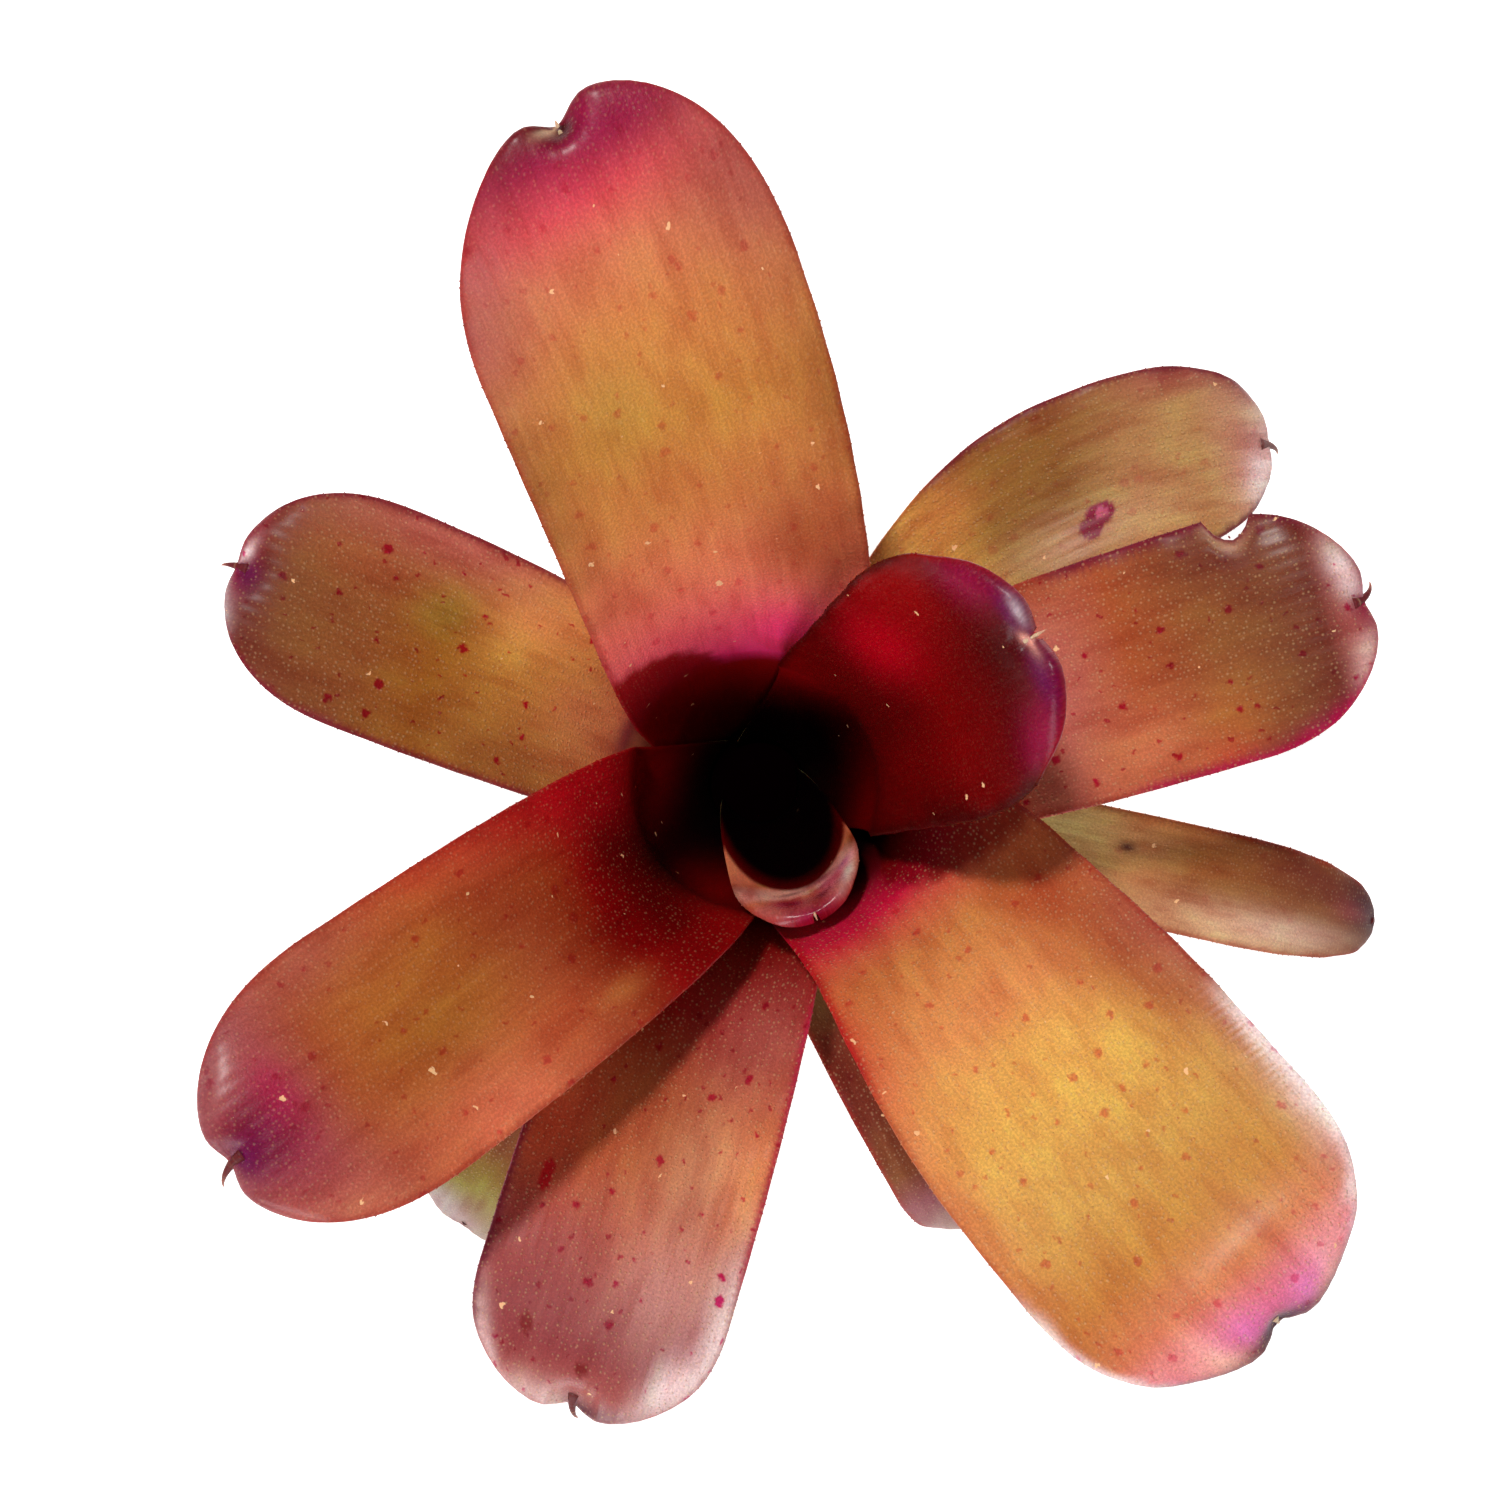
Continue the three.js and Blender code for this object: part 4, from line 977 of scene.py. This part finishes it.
# %% Leaves into the scene
SCURF_FRECKLES_SHINE = {
    "leaf_01_heart": (0.2, 0.5, 1.0),
    "leaf_02_inner_right": (0.1, 0.0, 0.5),
    "leaf_03_lower_left": (0.5, 0.6, 0.6),
    "leaf_04_top": (0.35, 0.4, 0.5),
    "leaf_05_lower_right": (1.1, 0.55, 0.5),
    "leaf_06_upper_left": (0.7, 1.0, 0.2),
    "leaf_07_bottom": (1.0, 1.0, 1.0),
    "leaf_08_right": (1.0, 1.0, 0.7),
    "leaf_09_upper_right": (1.0, 0.3, 1.0),
    "leaf_10_low_left": (1.0, 0.1, 0.6),
    "leaf_11_low_front": (0.7, 0.4, 0.3),
    "leaf_12_low_right": (0.5, 0.2, 0.0),
}
SHINE_FROM = (0.75, 0.95)  # parts of the blade between which the shine grows
LEAST_SHINE = 0.2  # share of the shine on the rest of the blade
OUT_OF_SHEATH = (-4, 12)  # lengths u between which scurf, freckles and shine come in
ON_UNDERSIDE = 0.25  # share of freckles and shine there
GRAIN_STEP = 60.0
SLOT_UP_TO = (
    (0, "heart_leaf"), (1, "inner_leaf"), (4, "upper_leaf"), (7, "middle_leaf"),
    (11, "lower_leaf"),
)


def mesh_piece(name, points, faces, material, attributes):
    """A mesh object in metres with smooth faces and its point attributes."""
    mesh = bpy.data.meshes.new(name)
    mesh.from_pydata(points * MM, [], faces)
    for attribute, (kind, field, values) in attributes.items():
        layer = mesh.attributes.new(attribute, kind, "POINT")
        layer.data.foreach_set(field, values.ravel().astype(np.float32))
    mesh.materials.append(material)
    mesh.shade_smooth()
    piece = bpy.data.objects.new(name, mesh)
    bpy.context.scene.collection.objects.link(piece)
    return piece


def care_of(name, leaf, params):
    """Scurf, freckles and shine: scurf fades out in the sheath, freckles keep to the blade,
    and the shine grows from a fifth to all of it where the leaf's end curls over."""
    u, t, arc, under = params.T
    scurf, freckles, shine = SCURF_FRECKLES_SHINE[name]
    blade = smooth(u, *OUT_OF_SHEATH)
    upper = np.where(under < 0.4, 1, ON_UNDERSIDE)
    curled = mix(LEAST_SHINE, 1.0, smooth(u / leaf["blade"], *SHINE_FROM))
    return np.stack([scurf * blade, freckles * blade * upper, shine * curled * upper * blade], -1)


triangles = 0
for name, leaf in LEAVES.items():
    points, faces, params = whole_leaf(name, leaf)
    tone = leaf_tone(name, leaf, params)
    along, across = params[:, 0], params[:, 2] + GRAIN_STEP * leaf["layer"]
    grain = np.stack([across, along, 0 * along], -1)
    slot = next(slot for upto, slot in SLOT_UP_TO if leaf["layer"] <= upto)
    attributes = {
        "tone": ("FLOAT_COLOR", "color", np.hstack([tone, np.ones((len(tone), 1))])),
        "grain": ("FLOAT_VECTOR", "vector", grain),
        "care": ("FLOAT_VECTOR", "vector", care_of(name, leaf, params)),
    }
    piece = mesh_piece(name + "_blade", points, faces, SKINS[slot], attributes)
    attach(piece, "root")
    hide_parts(name)
    triangles += sum(len(face) - 2 for face in faces)
print("leaf triangles in all:", triangles)

# %% [markdown]
# ## The stem
# Under the leaves is a short woody stem, ringed with the scars of leaves that have gone, and
# cut flat where the plant was lifted. It is turned on the axis like the solid stem, with
# finer rings: a profile of radius and height carried round a full turn.

# %% Stem
# radius of the cut, height of the tip over the last sheath's foot, and gap to the sheaths
STEM = {"cut": 12, "tip": 0.6, "gap": 0.35, "sides": 120, "rows": 26}
CUT_RINGS = (0, 4, 8)  # radii of the rings that divide the flat cut
OLDEST = 11  # layer of the outermost leaf
SCAR = {"height": 0.35, "pitch": 1.5, "full": 0.8}  # full size from this height on
WOBBLE = {"depth": 0.15, "lobes": 5, "outside": 9}  # slow lobes round the stem's outside
FIBRES = (900, 900, 160)  # per metre: fibres 1.1 mm apart and 6 mm long
BARK_ROUGH = (0.75, 0.95)
# painted shade: the stem turns black inside the urn
URN_SHADE = (0.007, 0.009)  # heights between which the stem turns dark, inside the urn


def stem_points():
    """Radius and height: a quarter round from the cut edge, then a straight climb under the
    sheaths' feet to the tip, with rings of cos(2 pi h / pitch) and a slow wobble."""
    widest = sheath_radius(OLDEST, foot_height(OLDEST)) + WALL
    edge = foot_height(OLDEST) - STEM["gap"]
    turn = np.linspace(0, np.pi / 2, STEM["rows"])
    r = [*CUT_RINGS, *mix(STEM["cut"], widest, np.sin(turn))]
    z = [*np.zeros(len(CUT_RINGS)), *(edge * (1 - np.cos(turn)))]
    for layer in range(OLDEST, -1, -1):
        r.append(sheath_radius(layer, foot_height(layer)) - WALL / 2)
        z.append(foot_height(layer) - STEM["gap"])
    r, z = np.array([*r, 0]), np.array([*z, foot_height(0) + STEM["tip"]])
    around = np.linspace(0, 2 * np.pi, STEM["sides"], endpoint=False)
    scars = SCAR["height"] * (np.cos(2 * np.pi * z / SCAR["pitch"]) - 1) / 2
    scars = scars * smooth(z, 0, SCAR["full"]) * (z < edge + 0.01)
    lobes = WOBBLE["depth"] * (1 + np.sin(WOBBLE["lobes"] * around + z[:, None]))
    radius = (r + scars)[:, None] - lobes * (r > WOBBLE["outside"])[:, None]
    height = z[:, None] + 0 * around
    return np.stack([radius * np.cos(around), radius * np.sin(around), height], -1)


def bark_skin():
    """Dry stem tissue: brown and matt with paler fibres, and painted black shade where it
    closes the urn.
    """
    material, output = new_material("dry fibrous stem")
    tree = material.node_tree
    place = add(tree, "ShaderNodeTexCoord").outputs["Object"]
    fibres = add(tree, "ShaderNodeMapping", {"Vector": place, "Scale": FIBRES}).outputs[0]
    noise = add(tree, "ShaderNodeTexNoise", {"Vector": fibres, "Scale": 1.0, "Detail": 5.0})
    shade = add(tree, "ShaderNodeMapRange", {0: noise.outputs[0], 1: 0.3, 2: 0.7})
    colours = add(tree, "ShaderNodeValToRGB", {0: shade.outputs[0]})
    colours.color_ramp.elements[0].color = rgba("bark")
    colours.color_ramp.elements[1].color = rgba("cut_wood")
    inputs = {"Strength": 0.7, "Distance": 0.0003, "Height": noise.outputs[0]}
    bump = add(tree, "ShaderNodeBump", inputs)
    inputs = {0: noise.outputs[0], 3: BARK_ROUGH[0], 4: BARK_ROUGH[1]}
    rough = add(tree, "ShaderNodeMapRange", inputs)
    height = add(tree, "ShaderNodeSeparateXYZ", {0: place}).outputs[2]
    # painted shade: the stem's top turns black inside the urn
    inputs = {0: height, 1: URN_SHADE[0], 2: URN_SHADE[1]}
    in_urn = add(tree, "ShaderNodeMapRange", inputs).outputs[0]
    inputs = {0: in_urn, 6: colours.outputs[0], 7: rgba("painted_shade_black")}
    urn_shaded = add(tree, "ShaderNodeMix", inputs, data_type="RGBA")
    inputs = {
        "Base Color": urn_shaded.outputs[2], "Roughness": rough.outputs[0], "Normal": bump.outputs[0],
        "IOR": 1.5, "Specular IOR Level": 0.0,
    }
    shader = add(tree, "ShaderNodeBsdfPrincipled", inputs)
    tree.links.new(shader.outputs[0], output.inputs["Surface"])
    return material


turned = stem_points()
rows, size = turned.shape[:2]
middle_rows = turned[1:-1].reshape(-1, 3)
poles = np.array([turned[0, 0], turned[-1, 0]])
faces = ring_faces(rows - 2, size)[:, ::-1].tolist()
first_pole, last_pole, last_row = len(middle_rows), len(middle_rows) + 1, size * (rows - 3)
for k in range(size):
    faces.append([first_pole, (k + 1) % size, k])
    faces.append([last_pole, last_row + k, last_row + (k + 1) % size])
stem = mesh_piece("stem_stub", np.vstack([middle_rows, poles]), faces, bark_skin(), {})
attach(stem, "root")
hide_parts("stem")
print("stem faces:", len(faces))

# %% [markdown]
# ## Floor and light
# The plant stands on a plain pale floor. A fairly high key light from behind on the left
# draws the shadows in the urn, a wide low light from the front puts a gloss on the ends that
# curl down, and a pale world fills in.

# %% Floor and light
MIDDLE = 0.05  # height of the plant's middle, at which the lights point
FLOOR = {"half": 1.6, "drop": 0.0002}  # it lies a hair below the cut, so they don't meet
CLOUDS = 9.0  # per metre: clouds 110 mm apart in the board's paint
PAINT = (0.84, 0.88)  # grey of the board in the clouds and between them
# the board's own glow under the plant and beside it, and the radii between which it grows
GLOW = {"under": 0.1, "beside": 0.8, "from": 0.016, "to": 0.036}


def pale_floor():
    """Matt painted board: nearly white, with the faintest cloud in its tone. It is lit from
    below like a light table, but hardly under the plant, so a contact shadow stays."""
    material, output = new_material("pale matt board")
    tree = material.node_tree
    place = add(tree, "ShaderNodeTexCoord").outputs["Object"]
    noise = add(tree, "ShaderNodeTexNoise", {"Vector": place, "Scale": CLOUDS, "Detail": 3.0})
    shade = add(tree, "ShaderNodeMapRange", {0: noise.outputs[0], 3: PAINT[0], 4: PAINT[1]})
    radius = add(tree, "ShaderNodeVectorMath", {0: place}, operation="LENGTH").outputs[1]
    inputs = {0: radius, 1: GLOW["from"], 2: GLOW["to"], 3: GLOW["under"], 4: GLOW["beside"]}
    glow = add(tree, "ShaderNodeMapRange", inputs, interpolation_type="SMOOTHSTEP")
    inputs = {
        "Base Color": shade.outputs[0], "Roughness": 0.8, "IOR": 1.45,
        "Emission Color": (1, 1, 1, 1), "Emission Strength": glow.outputs[0],
    }
    shader = add(tree, "ShaderNodeBsdfPrincipled", inputs)
    tree.links.new(shader.outputs[0], output.inputs["Surface"])
    return material


half = FLOOR["half"]
corners = np.array([[-half, -half], [half, -half], [half, half], [-half, half]])
corners = np.hstack([corners, np.full((4, 1), -FLOOR["drop"])]) / MM
floor = mesh_piece("floor", corners, [[0, 1, 2, 3]], pale_floor(), {})

SKY = {"horizon": 0.7, "zenith": 0.14, "up_to": 0.75, "colour": (0.95, 0.97, 1.0, 1)}


def studio_sky():
    """A white cove: bright near the floor, and darker overhead, where the camera is."""
    world = bpy.data.worlds.new("studio")
    world.use_nodes = True
    tree = world.node_tree
    way = add(tree, "ShaderNodeTexCoord").outputs["Generated"]
    height = add(tree, "ShaderNodeSeparateXYZ", {0: way}).outputs[2]
    inputs = {0: height, 1: 0.0, 2: SKY["up_to"], 3: SKY["horizon"], 4: SKY["zenith"]}
    strength = add(tree, "ShaderNodeMapRange", inputs, interpolation_type="SMOOTHSTEP").outputs[0]
    background = tree.nodes["Background"]
    background.inputs["Color"].default_value = SKY["colour"]
    tree.links.new(strength, background.inputs["Strength"])
    bpy.context.scene.world = world


studio_sky()


def area_light(name, azimuth, elevation, size, power, distance, colour):
    """A square light at a distance from the plant, turned towards the middle of it."""
    light = bpy.data.lights.new(name, "AREA")
    light.size, light.energy, light.color = size, power, colour
    lamp = bpy.data.objects.new(name, light)
    a, e = np.radians(azimuth), np.radians(elevation)
    towards = np.array([np.cos(e) * np.cos(a), np.cos(e) * np.sin(a), np.sin(e)])
    lamp.location = towards * distance + np.array([0, 0, MIDDLE])
    lamp.rotation_euler = (np.pi / 2 - e, 0, a + np.pi / 2)
    bpy.context.scene.collection.objects.link(lamp)
    return lamp


LIGHT_FROM = 1.2  # metres from the plant to either light
KEY = {"azimuth": 118, "elevation": 68, "size": 0.1, "power": 10.5}
WINDOW = {"azimuth": -104, "elevation": 33, "size": 0.5, "power": 7.0}
area_light("key", **KEY, distance=LIGHT_FROM, colour=(1.0, 0.98, 0.94))
area_light("window", **WINDOW, distance=LIGHT_FROM, colour=(0.97, 0.97, 1.0))

# %% [markdown]
# ## Camera
# A phone held level above the plant sees it with strong perspective. The camera looks
# straight down the axis from 345 mm, and a small shift puts the axis where it belongs.

# %% Camera
SENSOR = 36.0
LENS = 57.14
FRAME_PIXELS = 1512
AXIS_OFF = (-4, 29)  # pixels from the picture's middle to the plant's axis, left and down
CAMERA_HEIGHT = 0.345
camera_data = bpy.data.cameras.new("camera")
camera_data.sensor_width, camera_data.lens = SENSOR, LENS
camera_data.shift_x, camera_data.shift_y = AXIS_OFF[0] / FRAME_PIXELS, AXIS_OFF[1] / FRAME_PIXELS
camera = bpy.data.objects.new("camera", camera_data)
camera.location = (0, 0, CAMERA_HEIGHT)
bpy.context.scene.collection.objects.link(camera)
bpy.context.scene.camera = camera
bpy.context.scene.view_settings.view_transform = "Standard"
print("camera at", tuple(camera.location))
